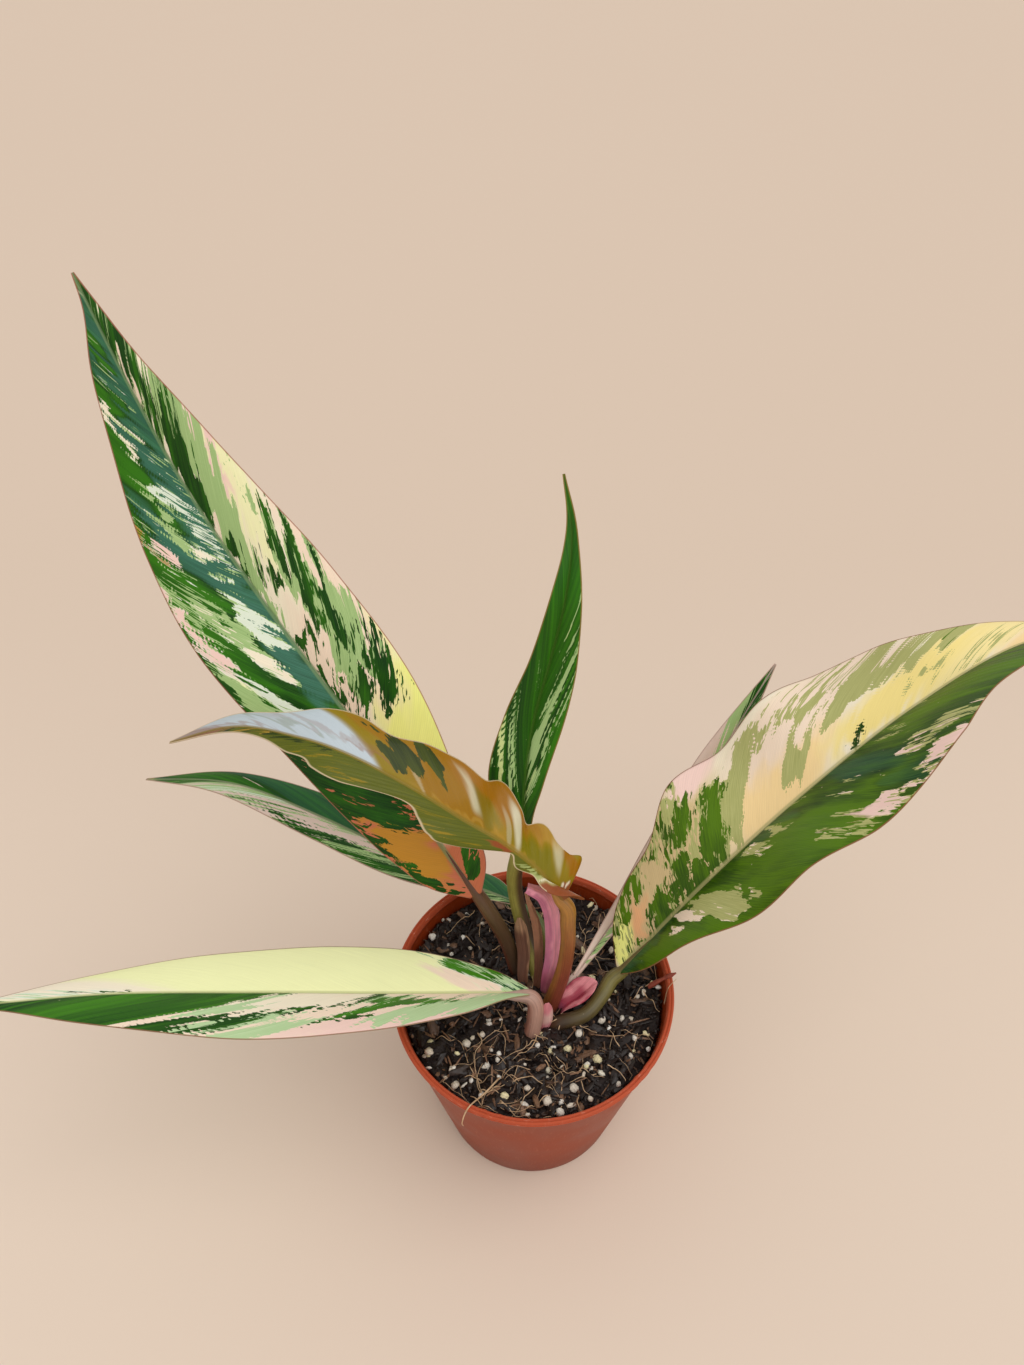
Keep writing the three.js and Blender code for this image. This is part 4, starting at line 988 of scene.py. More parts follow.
# %% Flat leaf
flat_greens = {**marble, "bright": srgb(64, 130, 12),
               "sage": (srgb(168, 204, 138), srgb(208, 228, 184))}
flat_look = blade_look("flat blade", rib=srgb(196, 200, 140), margin=srgb(150, 104, 78),
                       **flat_greens)
flat_marks = [
    patch(0.5, 1, 400, 200, pale="lime"),
    # Painted reflection: above zero the third layer puts a faint reflection of the sky on the base.
    patch(0.04, 4, 14, 12, sage=0.7, dark=0.3, pale="ivory", film=0.3),
    patch(0.11, 13, 8.5, 6, dark=0.66, sage=0.85, film=-0.7),
    patch(0.1, 4, 8, 4, dark=0.05, sage=0.2, pale="blush"),
    patch(0.14, 8, 4.5, 6, dark=0, sage=0.1, pale="blush"), patch(0.9, 5, 34, 14, pale="cream"),
    patch(0.75, 0.6, 12, 0.8, dark=0.9), patch(0.86, 2, 20, 1.8, sage=0.5, pale="ivory"),
    patch(0.2, -21, 40, 7, pale="pink"), patch(0.4, -5, 26, 8, pale="cream"),
    patch(0.03, -3, 14, 9, sage=0.8, dark=0.15), patch(0.13, -12, 18, 4.5, sage=0.9),
    patch(0.22, -17, 12, 3.5, sage=0.9), patch(0.09, -7, 12, 3, sage=0.7),
    patch(0.15, -6.5, 9, 2.5, dark=0.5, film=-0.7),
    patch(0.2, -8.5, 8, 3, dark=0.6, sage=0.8, film=-0.8),
    patch(0.245, -9.5, 8, 3, dark=0.78, film=-0.5),
    patch(0.26, -6, 8, 3, dark=0.65, sage=0.8, film=-0.5), patch(0.295, -5, 5, 3, dark=0.8),
    patch(0.3, -13.5, 5, 2.6, dark=0.8, sage=0.8, film=-0.6), patch(0.335, -17.5, 7, 2, dark=0.88),
    patch(0.37, -17, 6, 1.5, sage=0.8), patch(0.34, -9.5, 5, 0.8, dark=0.8),
    patch(0.4, -11.5, 8, 1.3, dark=0.8), patch(0.475, -14, 5, 1.1, dark=0.75),
    patch(0.46, -21, 8, 3.5, sage=0.92), patch(0.5, -16.5, 9, 4, sage=0.92),
    patch(0.52, -9, 7, 4, sage=0.95), patch(0.54, -19, 7, 3, sage=0.9, dark=0.55),
    patch(0.46, -3, 5, 1.8, dark=0.7), patch(0.75, -1, 64, 60, soft=0.05, dark=1),
    patch(0.66, -19, 13, 6, soft=0.12, dark=1),
    patch(0.53, -9.5, 7, 5, soft=0.2, dark=0.04, sage=0.95),
    patch(0.46, -6, 6, 2, dark=0.05, sage=0.2), patch(0.57, -17.5, 4, 2, dark=0.05, sage=0.95),
    patch(0.8, -6, 26, 6, film=-0.5), patch(0.62, -8, 20, 7, film=-0.3),
    patch(0.98, 1, 8, 4, dark=0.7, sage=1),
]
add_blade("blade_flat", LEAVES["flat"], flat_look, "blush", flat_marks)

# %% Upright leaf
upright_look = blade_look("upright blade", rib=srgb(70, 110, 34), margin=srgb(150, 120, 60),
                          **marble)
upright_marks = [
    patch(0.5, 0, 500, 100, dark=0.97, sage=0.85), patch(0.265, -11, 7, 1.4, dark=0.05, sage=0.2),
    patch(0.25, -6.5, 9, 1.3, dark=0.3), patch(0.2, -6, 4, 1, dark=0.3),
    patch(0.37, -9.5, 5, 0.9, dark=0.3), patch(0.25, -14, 5, 0.8, dark=0.4),
    patch(0.345, -7.6, 6, 0.8, dark=0.5), patch(0.47, -3, 8, 1, dark=0.75),
    patch(0.15, 1, 6, 1, dark=0.4), patch(0.2, 3.5, 3, 2.5, dark=0.3),
    patch(0.29, 2.5, 7, 2, dark=0.1), patch(0.34, 5, 7, 1.6, dark=0.1),
    patch(0.4, 6.5, 7, 1.4, dark=0.15), patch(0.34, 9, 7, 1.4, dark=0.25),
    patch(0.47, 5, 7, 1, dark=0.12), patch(0.62, 4.5, 5, 0.9, dark=0.2),
    patch(0.555, 8.5, 5, 0.7, dark=0.3), patch(0.55, 0, 50, 12, film=-0.35),
    patch(0.95, 0, 14, 5, film=-1), patch(0.4, 11, 40, 1.4, film=-0.8),
]
add_blade("blade_upright", LEAVES["upright"], upright_look, "streak", upright_marks)

# %% Low leaf
low_look = blade_look("low blade", rib=srgb(150, 160, 120), margin=srgb(190, 150, 134), **marble)
low_marks = [
    patch(0.5, -1, 400, 90, sage=0.4, dark=0.12), patch(0.38, -13, 24, 1.6, dark=0.95, film=-0.3),
    patch(0.1, -5, 40, 14, dark=0.6, sage=0.8), patch(0.33, -8, 6, 3, sage=1, dark=0.3),
    patch(0.41, -9.5, 6, 2, dark=0.5, sage=0.8), patch(0.48, -9, 6, 3, dark=0.8, sage=1),
    patch(0.56, -8.5, 14, 1.5, dark=0.82), patch(0.6, -6, 20, 1.2, sage=0.9, dark=0.4),
    patch(0.45, -5, 18, 2.8, sage=0.03, dark=0), patch(0.6, -3, 20, 2.2, sage=0.08, dark=0),
    patch(0.655, -6, 3, 1.5, dark=0.88), patch(0.43, -1.5, 14, 1.2, sage=0.85, dark=0.4),
    patch(0.7, -2, 12, 1.4, sage=0.9, dark=0.3),
    patch(0.75, -4.5, 9, 4, sage=0.5, dark=0.15, pale="ivory"),
    # Painted reflection: above zero the third layer puts a blue-green reflection of the sky on the
    # dark half.
    patch(0.89, -1, 22, 6, dark=0.85, sage=1, film=-0.3), patch(0.5, 1, 500, 100, dark=1, film=0.3),
    patch(0.85, 3, 30, 6, film=-0.4), patch(0.715, 3.5, 2.5, 1.5, dark=0, sage=0),
    patch(0.66, 4, 4, 2, dark=0.8, sage=1), patch(0.985, 0, 8, 5, dark=0.3, sage=0.2, pale="gold"),
]
add_blade("blade_low", LEAVES["low"], low_look, "dusty pink", low_marks)

# %% Hidden leaf
hidden_look = blade_look("hidden blade", rib=srgb(200, 180, 168), margin=srgb(196, 160, 146),
                         **marble)
hidden_marks = [
    patch(0.16, 2, 14, 3, sage=0.95, dark=0.3), patch(0.5, 3, 20, 4, sage=0.3),
    patch(0.94, 0, 24, 10, dark=0.85, sage=0.9), patch(0.88, -4, 14, 4, dark=0.15, sage=0.9),
]
add_blade("blade_hidden", LEAVES["hidden"], hidden_look, "dusty pink", hidden_marks)


# %% [markdown]
# ## Tubes, turned bodies and scattered bits
#
# Stalks, rootlets and the fibre on the lip are rings of points carried along a curve. The pot, the
# stem and the body of the mix are rings round an upright axis. Both are closed by strips of faces
# across their first and last ring. Bark, crumbs and perlite are copies of one small closed shape,
# each copy stretched, turned and roughened by itself.

# %% Rings
def tube_faces(rows, columns):
    """Faces round a stack of rings, and strips that close its first and last ring. The number of
    columns is even."""
    i = np.arange(columns // 2 - 1)
    cap = np.stack([i, i + 1, columns - 2 - i, columns - 1 - i], axis=-1)
    return np.concatenate([grid_faces(rows, columns, around=True), cap[:, ::-1],
                           cap + (rows - 1) * columns])


def carried(route, radius, columns):
    """Rings of a given radius round each point of a route. The first direction of a ring is that
    of the ring before it, less its part along the route, so the tube doesn't twist."""
    way = unit(np.gradient(route, axis=0))
    side = np.empty_like(route)
    held = np.array((0.3, -1.0, 0.2))
    for i, forward in enumerate(way):
        held = unit(held - forward * (held @ forward))
        side[i] = held
    other = np.cross(way, side)
    angle = 2 * np.pi * np.arange(columns) / columns
    spoke = side[:, None] * np.cos(angle)[:, None] + other[:, None] * np.sin(angle)[:, None]
    return route[:, None] + spoke * radius[:, None, None], spoke


def turned(outline, columns, wobble=None):
    """Rings round the z axis through the (radius, height) points of an outline, as an array of
    rows by columns by 3. wobble(angle, height) is added to the radius."""
    radius, height = np.asarray(outline, float).T[:, :, None]
    angle = 2 * np.pi * np.arange(columns) / columns
    around = radius + 0 * angle + (0 if wobble is None else wobble(angle, height))
    return np.stack([around * np.cos(angle), around * np.sin(angle), height + 0 * angle], axis=-1)


def rounded(corners, radius, steps=5):
    """An outline with its inner corners cut to curves: each corner P becomes the curve
    (1-t)^2 A + 2t(1-t) P + t^2 B between the points A and B that lie radius before and after it."""
    corners = np.asarray(corners, float)
    before = unit(corners[:-2] - corners[1:-1])
    after = unit(corners[2:] - corners[1:-1])
    reach = np.minimum(radius, 0.45 * np.minimum(
        np.linalg.norm(corners[:-2] - corners[1:-1], axis=1),
        np.linalg.norm(corners[2:] - corners[1:-1], axis=1)))[:, None, None]
    t = np.linspace(0, 1, steps)[None, :, None]
    start = corners[1:-1, None] + before[:, None] * reach
    end = corners[1:-1, None] + after[:, None] * reach
    curve = (1 - t) ** 2 * start + 2 * t * (1 - t) * corners[1:-1, None] + t ** 2 * end
    return np.vstack([corners[:1], curve.reshape(-1, 2), corners[-1:]])


def split(outline, longest):
    """The outline with extra points, so that no step along it is longer than longest."""
    pieces = [np.linspace(a, b, max(int(np.ceil(np.linalg.norm(b - a) / longest)), 1) + 1)[:-1]
              for a, b in zip(outline[:-1], outline[1:])]
    return np.vstack(pieces + [outline[-1:]])


def turns(yaw, tilt, roll):
    """One rotation for each set of angles: roll about x, then tilt about y, then yaw about z."""
    cy, sy, ct, st, cr, sr = (f(a) for a in (yaw, tilt, roll) for f in (np.cos, np.sin))
    return np.stack([
        np.stack([cy * ct, cy * st * sr - sy * cr, cy * st * cr + sy * sr], axis=-1),
        np.stack([sy * ct, sy * st * sr + cy * cr, sy * st * cr - cy * sr], axis=-1),
        np.stack([-st, ct * sr, ct * cr], axis=-1)], axis=-2)


def lump(rows, columns, squareness):
    """A small closed body round the x axis. Its section's radius is (1 - x^2)^squareness, so a
    small squareness makes a blunt block and 0.5 a ball."""
    x = np.cos(np.linspace(np.pi - 0.3, 0.3, rows))
    radius = (1 - x ** 2) ** squareness
    angle = 2 * np.pi * (np.arange(columns) + 0.5) / columns
    ring = np.stack([np.broadcast_to(x[:, None], (rows, columns)),
                     radius[:, None] * np.cos(angle), radius[:, None] * np.sin(angle)], axis=-1)
    return ring.reshape(-1, 3), tube_faces(rows, columns)


def scattered(shape, faces, place, size, turn, rough, random):
    """Copies of a shape: place + turn (size * shape * (1 + rough * a number from -1 to 1))."""
    noise = 1 + rough * random.uniform(-1, 1, (len(place),) + shape.shape)
    points = np.einsum("nij,nkj->nki", turn, shape * size[:, None] * noise) + place[:, None]
    numbers = faces + (np.arange(len(place)) * len(shape))[:, None, None]
    return points.reshape(-1, 3), numbers.reshape(-1, 4)


print("a tube of 3 rings of 8 points has", len(tube_faces(3, 8)), "faces")

# %% [markdown]
# ## Petioles and sheaths
#
# Each petiole is a tube that is thicker at its foot in the mix, keeps its radius up to the blade
# and then thins out under the blade as its midrib. Its skin carries colour in an attribute, mixed
# from the colours at foot, middle and top, and fine lines run along it. The sheaths are small
# folded sheets of the same kind as the blades.

# %% Stalk and sheath skins
def skin_look(name, roughness, coat, line_depth):
    """A skin whose colour comes from the attribute pale, with fine lines along the organ."""
    look = Look(name, Coat_Weight=coat, Coat_Roughness=0.3, Specular_IOR_Level=0.4,
                Roughness=roughness)
    veins = look.attribute("veins")
    lines = look.noise(look.scaled(veins, (0.05, 2.4, 1)), 1.0, 3)
    clouds = look.noise(look.scaled(veins, (0.16, 0.3, 1)), 1.0, 2)
    depth = look.math("MULTIPLY", look.smooth(lines, 0.25, 0.75, 1 - line_depth, 1.08),
                      look.smooth(clouds, 0.2, 0.8, 0.86, 1.1))
    tone = look.darkened(look.attribute("pale", "Color"), depth)
    dots = look.math("MULTIPLY", specks(look, 1.6, 0.16, 0.12), 0.35)
    look.link("Base Color", look.mix(dots, tone, srgb(214, 196, 170)))
    look.bump(lines, 0.15 * MM, 0.5)
    return look


stalk_skin = skin_look("stalk skin", 0.42, 0.15, 0.28)
sheath_skin = skin_look("sheath skin", 0.4, 0.2, 0.18)
dry_skin = skin_look("dry sheath", 0.75, 0.0, 0.4)
SKIN = {
    "maroon": srgb(98, 44, 34), "umber": srgb(104, 78, 50), "olive": srgb(122, 112, 54),
    "golden": srgb(172, 118, 48), "amber": srgb(188, 134, 66), "lime": srgb(168, 160, 76),
    "moss": srgb(70, 104, 50), "rosy": srgb(186, 142, 124), "bark": srgb(66, 46, 32),
    "pale": srgb(206, 180, 166), "red": srgb(138, 66, 46),
}
print("skins:", stalk_skin.material.name, sheath_skin.material.name, dry_skin.material.name)


# %% Petioles
STALK_ROWS = 90
STALK_COLUMNS = 20
SUNK_AT = np.array([0.0, 0.03, 0.07])       # u where a petiole runs on under its blade
SUNK_BY = np.array([[0.5], [0.4], [0.3]])   # shares of its radius that it lies below the midrib
GIRTH = {"foot": 1.3, "lower": 1.04, "top": 0.92, "end": 0.2}   # times the leaf's radius
LOWER_AT = 0.3                              # share of its way
COLOUR_STOPS = (0.25, 0.6, 1)               # shares of its way for foot, middle and top colour
FLANK_EDGE = 0.75                           # width of the soft edge of its left side's colour


def add_petiole(name, foot, middle, top, flank, flank_from=0.2, flank_share=0.6):
    """The petiole of one leaf. Its radius is the leaf's times its girth, most at the foot and
    least where it ends under the blade. flank is the colour of its left side, which starts at
    flank_from of the radius left of the middle and covers the other colours by flank_share."""
    leaf = LEAVES[name]
    radius = leaf["radius"]
    joint, _, up, _ = midrib_frame(leaf, SUNK_AT)
    sunk = joint - up * radius * SUNK_BY
    points = np.vstack([leaf["petiole"], sunk])
    t = np.linspace(0, 1, STALK_ROWS)
    end = len(leaf["petiole"]) / (len(points) - 1)
    route = through(points, t)
    girth = along(list(zip((0, LOWER_AT, end, 1), GIRTH.values())), t)
    rings, spoke = carried(route, radius * girth, STALK_COLUMNS)
    share = np.broadcast_to(t[:, None], rings.shape[:2])
    colour = np.stack([np.interp(share, COLOUR_STOPS, channel) for channel in
                       np.stack([SKIN[foot], SKIN[middle], SKIN[top]], axis=-1)], axis=-1)
    side = step(-spoke[..., 0], flank_from, flank_from + FLANK_EDGE)[..., None] * flank_share
    colour = colour + (np.array(SKIN[flank]) - colour) * side
    travelled = np.concatenate([[0], np.cumsum(np.linalg.norm(np.diff(route, axis=0), axis=1))])
    around = np.arange(STALK_COLUMNS) * 2 * np.pi * radius / STALK_COLUMNS
    veins = np.stack([np.broadcast_to(travelled[:, None], rings.shape[:2]),
                      np.broadcast_to(around, rings.shape[:2]),
                      np.full(rings.shape[:2], radius * 10)], axis=-1)
    add_piece("fine_petiole_" + name, rings.reshape(-1, 3), tube_faces(STALK_ROWS, STALK_COLUMNS),
              [stalk_skin], "petiole_" + name,
              attributes={"pale": colour.reshape(-1, 4), "veins": veins.reshape(-1, 3)})


STALK_TONES = {     # foot, middle, top and flank, and where the flank starts and how much it covers
    "tall": ("bark", "umber", "maroon", "red"),
    "caramel": ("red", "golden", "amber", "golden"),
    "upright": ("bark", "umber", "umber", "lime", -0.6, 0.95),
    "low": ("olive", "moss", "moss", "olive"),
    "flat": ("rosy", "rosy", "pale", "red"),
    "right": ("bark", "olive", "olive", "umber"),
    "hidden": ("rosy", "pale", "pale", "rosy"),
}
for name, tones in STALK_TONES.items():
    add_petiole(name, *tones)
print(len(STALK_TONES), "petioles of", STALK_ROWS, "rings")

# %% Sheaths
SHEATHS = {
    "pink_strap": dict(
        midrib=[(5.5, 0, 82), (6.2, 0.5, 96), (8.2, 3.6, 112), (7.7, 7.5, 132), (4.2, 8.6, 146),
                (-2.7, 7.7, 154)],
        faces=[(0.2, -1, 0.1), (0.2, -1, 0.2), (0.5, -0.5, 0.8)],
        left=[(0, 2), (0.3, 3.2), (0.8, 3.2), (1, 2.2)], fold_left=[(0, -25), (1, -20)],
        pale="strap", patches=[
            patch(0.5, -2.4, 60, 1.6, pale="plum", amount=0.85),
            patch(0.1, 0, 14, 8, pale="cup", amount=0.5), patch(0.92, 2, 12, 2, pale="cup rim")]),
    "tan_strip": dict(
        midrib=[(1, 1, 82), (2.5, 6, 100), (1.5, 11, 122), (-3.5, 10.5, 147)],
        faces=[(-0.2, -1, 0.1), (-0.3, -1, 0.2), (-0.3, -0.8, 0.5)],
        left=[(0, 1.5), (0.4, 2), (0.8, 1.8), (1, 0.6)], fold_left=[(0, 20), (1, 20)],
        pale="strip", patches=[
            patch(0.2, 0, 20, 6, pale="paper"), patch(0.6, 1.6, 40, 0.6, pale="paper")]),
    "pink_boat": dict(
        midrib=[(11.5, -7.5, 82), (14, -7, 89), (20, -5, 93), (27, -1.5, 99.5)],
        faces=[(-0.7, -0.1, 0.7), (-0.6, -0.3, 0.9), (-0.6, -0.3, 0.9)],
        left=[(0, 2.5), (0.3, 5), (0.6, 7), (0.85, 6.5), (0.95, 4), (1, 1.5)],
        right=[(0, 2), (0.3, 3.5), (0.6, 5.5), (0.85, 5), (0.95, 3), (1, 1)],
        fold_left=[(0, 35), (0.6, 35), (1, 25)], fold_right=[(0, 35), (0.6, 45), (1, 30)],
        pale="cup", patches=[
            patch(0.65, -4.6, 12, 1.3, pale="cup rim"), patch(0.65, 3.8, 12, 1.1, pale="cup rim"),
            patch(0.95, 0, 4, 4, pale="cup rim"), patch(0.1, 0, 6, 6, pale="plum", amount=0.5)]),
    "small_scale": dict(
        midrib=[(4.9, -16, 83), (5.6, -15.5, 92), (5.6, -13, 102)],
        faces=[(0.3, -1, 0.2), (0.3, -0.9, 0.4)],
        left=[(0, 2), (0.5, 3.2), (0.85, 2.6), (1, 0.8)],
        right=[(0, 2), (0.5, 3.2), (0.85, 2.4), (1, 0.8)],
        fold_left=[(0, -20), (1, -25)],
        pale="scale", patches=[
            patch(0.15, 0, 5, 5, pale="cup rim"), patch(0.9, 0, 4, 4, pale="cup rim")]),
    "dry_sheath": dict(
        midrib=[(-3.5, 3, 83), (-4, 5, 91), (-3.5, 11.5, 100), (-5, 16.5, 110), (-6, 19, 116)],
        faces=[(0.1, -1, 0.2), (0, -1, 0.3)],
        left=[(0, 1.5), (0.4, 3.2), (0.8, 3), (1, 0.8)],
        right=[(0, 1.5), (0.4, 2.4), (0.8, 2.6), (1, 0.8)],
        fold_left=[(0, -25), (1, -25)], skin=dry_skin,
        pale="paper", patches=[
            patch(0.6, 2.6, 20, 0.9, pale="paper edge"), patch(0.9, 0, 6, 5, pale="paper edge")]),
}
SHEATH_THICKNESS = 1.0
for name, sheath in SHEATHS.items():
    sheath.update(rib=0, crown=0.04, fineness=(60, 10), wander=0.15, lean_left=[(0, 0), (1, 0)])
    complete(sheath, 100)
    add_blade(name, sheath, sheath.get("skin", sheath_skin), sheath["pale"], sheath["patches"],
              SHEATH_THICKNESS, veined=0)


# %% [markdown]
# ## The stem and the mix
#
# The stem is a knobbly stub, mostly below the surface. The mix is its own closed body: a rough
# surface of fine crumbs, with bark chunks, smaller crumbs, perlite grains and rootlets strewn over
# it. Where the photo shows a grain plainly its place is given, the others are drawn at random
# with a fixed seed.

# %% Stem
CROWN = (4, -2)
AXIS = 0.1                      # mm, the radius of a ring that a strip of faces then closes
STEM_OUTLINE = [(AXIS, 55), (4, 57), (6.5, 62), (7.5, 70), (7, 76), (7.5, 82), (5.5, 86.5),
                (AXIS, 88)]
STEM_COLUMNS = 48
KNOBS_END = 84                  # mm, the height above which the stub is smooth


def knobs(angle, height):
    """Five low knobs round the stub, 0.35 mm high, that come and go with the height."""
    return 0.35 * np.sin(5 * angle + 0.4 * height) * np.sin(0.9 * height) * (height < KNOBS_END)


stem_look = grained("stem bark", (120, 120, 700), 3, srgb(84, 60, 44), srgb(146, 112, 84), 0.4, 0.7,
                    Roughness=0.7, Specular_IOR_Level=0.3)[0]
stem_line = split(rounded(STEM_OUTLINE, 1.2), 0.8)
stem_points = turned(stem_line, STEM_COLUMNS, knobs)
add_piece("fine_stem", stem_points.reshape(-1, 3) + (*CROWN, 0),
          tube_faces(len(stem_line), STEM_COLUMNS), [stem_look], "stem")
print("stem has", len(stem_line), "rings")

# %% Body of the mix
random = np.random.default_rng(12)
SOIL_TOP = 86.5
SOIL_BOTTOM = 2.5
SOIL_RADIUS_TOP = 55.0
SOIL_RADIUS_BOTTOM = 39.7
SOIL_COLUMNS = 200
SOIL_RINGS = 110                # from the wall to the axis


def mix_height(x, y):
    """The surface's height in mm: low humps, and short waves that run all ways."""
    humps = (0.7 * np.sin(0.31 * x + 0.6) * np.cos(0.27 * y) + 0.5 * np.sin(0.53 * y - 0.21 * x)
             + 0.4 * np.sin(0.71 * x + 0.47 * y + 1.1))
    return SOIL_TOP + humps + 1.1 * wave_field(x, y, 12, 2.2, 9)


soil_look, _, soil_tone = grained(
    "potting mix", 900, 4, srgb(9, 6, 6), srgb(50, 35, 30), 0.6, 0.9,
    Specular_IOR_Level=0.35, Roughness=0.7)
soil_broad = soil_look.noise(soil_look.place(), 150, 3)
soil_shade = soil_look.smooth(soil_broad, 0.4, 0.7, 0.0, 0.6)
soil_look.link("Base Color", soil_look.mix(soil_shade, soil_tone, srgb(26, 17, 17)))
soil_side = split(np.array([(AXIS, SOIL_BOTTOM), (SOIL_RADIUS_BOTTOM, SOIL_BOTTOM),
                            (SOIL_RADIUS_TOP, SOIL_TOP - 1.5)]), 6)
soil_ring = np.linspace(SOIL_RADIUS_TOP, AXIS, SOIL_RINGS)[1:, None]
soil_line = np.vstack([soil_side, np.hstack([soil_ring, np.full_like(soil_ring, SOIL_TOP)])])
soil_points = turned(soil_line, SOIL_COLUMNS)
top = soil_points[len(soil_side):]
top[..., 2] = mix_height(top[..., 0], top[..., 1])
add_piece("fine_soil", soil_points.reshape(-1, 3), tube_faces(len(soil_line), SOIL_COLUMNS),
          [soil_look], "soil")
print("mix surface from", top[..., 2].min().round(1), "to", top[..., 2].max().round(1), "mm")

# %% Bark and crumbs
bark_look, bark_grain, bark_dark = grained(
    "bark", 700, 3, srgb(10, 6, 4), srgb(46, 29, 22), 0.35, 0.8,
    Specular_IOR_Level=0.4, Coat_Weight=0.16, Coat_Roughness=0.25)
bark_warm = bark_look.mix(bark_grain, srgb(72, 44, 32), srgb(172, 130, 98))
bark_share = bark_look.smooth(bark_look.attribute("tone", "Fac"), 0.8, 1.05)
bark_look.link("Base Color", bark_look.mix(bark_share, bark_dark, bark_warm))
bark_look.link("Roughness", bark_look.smooth(bark_grain, 0.3, 0.7, 0.35, 0.62))
WALL_CLEAR = 56.2               # mm from the axis that no loose bit passes


def strewn(count, sizes, lift, tilt, random):
    """Places, sizes and turns for count bits: spread evenly over the surface and kept inside the
    wall, sizes drawn between a least and a most in each direction, lying nearly level."""
    low, high = sizes
    size = random.uniform(low, high, (count, 3)) / 2
    angle = random.uniform(0, 2 * np.pi, count)
    radius = (WALL_CLEAR - size.max(axis=1)) * np.sqrt(random.uniform(0, 1, count))
    x, y = radius * np.cos(angle), radius * np.sin(angle)
    place = np.stack([x, y, mix_height(x, y) + lift * size[:, 2]], axis=-1)
    turn = turns(random.uniform(0, 2 * np.pi, count), random.normal(0, tilt, count),
                 random.normal(0, 2 * tilt, count))
    return place, size, turn


def add_bits(name, shape, bits, look, rough, random, tones=(0, 1), smooth=False):
    """One piece of many bits. Each bit carries one number, drawn between two tones."""
    corners, faces = shape
    place, size, turn = bits
    points, numbers = scattered(corners, faces, place, size, turn, rough, random)
    tone = np.repeat(random.uniform(*tones, len(place)), len(corners))
    add_piece(name, points, numbers, [look], attributes={"tone": tone}, smooth=smooth)
    print(name, "has", len(place), "bits,", len(numbers), "faces")


CHUNK = lump(5, 8, 0.22)
CRUMB = lump(4, 6, 0.35)
BARK_BITS = {       # shape, count, least and greatest size in mm, lift, tilt, roughness, tones
    "bark_chunks": (CHUNK, 560, ((3.5, 1.8, 1.0), (10, 4.6, 2.6)), 0.5, 0.3, 0.22, (0, 1)),
    "bark_slivers": (CHUNK, 460, ((3, 0.4, 0.3), (11, 1.3, 0.7)), 3.0, 0.3, 0.2, (0.6, 1.25)),
    "crumbs": (CRUMB, 2200, ((0.7, 0.6, 0.5), (2.6, 2.0, 1.6)), 0.9, 0.5, 0.25, (0, 1)),
}
for name, (shape, count, sizes, lift, tilt, rough, tones) in BARK_BITS.items():
    add_bits(name, shape, strewn(count, sizes, lift, tilt, random), bark_look, rough, random, tones)

# %% Perlite
PERLITE_COUNT = 150
PERLITE_BY_HAND = [(14, -25), (16, -42), (5, -48), (10, -52), (-12, -46), (-32, -41), (-43, -28),
                   (-45, 28), (19, -19), (29, -13), (52, 4), (-28, -23), (6, -34), (26, -30)]
PERLITE_SIZES = ((1.2, 1.1, 1.0), (3.6, 3.0, 2.6))      # mm, least and greatest
HAND_SIZES = (1.3, 2.1)         # half sizes in mm of the grains at listed places
HAND_LIFT = 1.6
YELLOWED = (0.78, 0.84)         # a grain whose number is above these has aged to cream
perlite_look = Look("perlite", Roughness=0.85, Specular_IOR_Level=0.25)
perlite_grain = perlite_look.noise(perlite_look.place(), 1400, 3)
perlite_share = perlite_look.attribute("tone", "Fac")
perlite_tone = perlite_look.mix(perlite_share, srgb(222, 208, 188), srgb(246, 243, 236))
perlite_aged = perlite_look.smooth(perlite_share, *YELLOWED, 0.0, 0.8)
perlite_tone = perlite_look.mix(perlite_aged, perlite_tone, srgb(240, 226, 168))
perlite_pores = perlite_look.smooth(perlite_grain, 0.3, 0.6, 0.45, 0.0)
perlite_tone = perlite_look.mix(perlite_pores, perlite_tone, srgb(150, 132, 112))
perlite_look.link("Base Color", perlite_tone)
perlite_look.bump(perlite_grain, 0.3 * MM, 0.9)
place, size, turn = strewn(PERLITE_COUNT, PERLITE_SIZES, 1.2, 0.6, random)
hand = np.array(PERLITE_BY_HAND, float)
place[:len(hand), :2] = hand
size[:len(hand)] = random.uniform(*HAND_SIZES, (len(hand), 3))
place[:len(hand), 2] = mix_height(hand[:, 0], hand[:, 1]) + HAND_LIFT
add_bits("perlite", lump(6, 8, 0.42), (place, size, turn), perlite_look, 0.26, random, smooth=True)

# %% Rootlets, fibre and twig
ROOTLETS = 120
ROOT_ROWS = 26
ROOT_SIDES = 6
ROOT_CLEAR = 54.5               # mm from the axis that no rootlet passes
TANGLE = 12                     # how many of them start at the tangle by the front wall
TANGLE_PLACE = (-18, -46)
TANGLE_SPREAD = (5, 3)
root_look = grained("rootlets", 500, 2, srgb(146, 104, 66), srgb(242, 210, 170), 0.1,
                    Roughness=0.6, Specular_IOR_Level=0.3)[0]


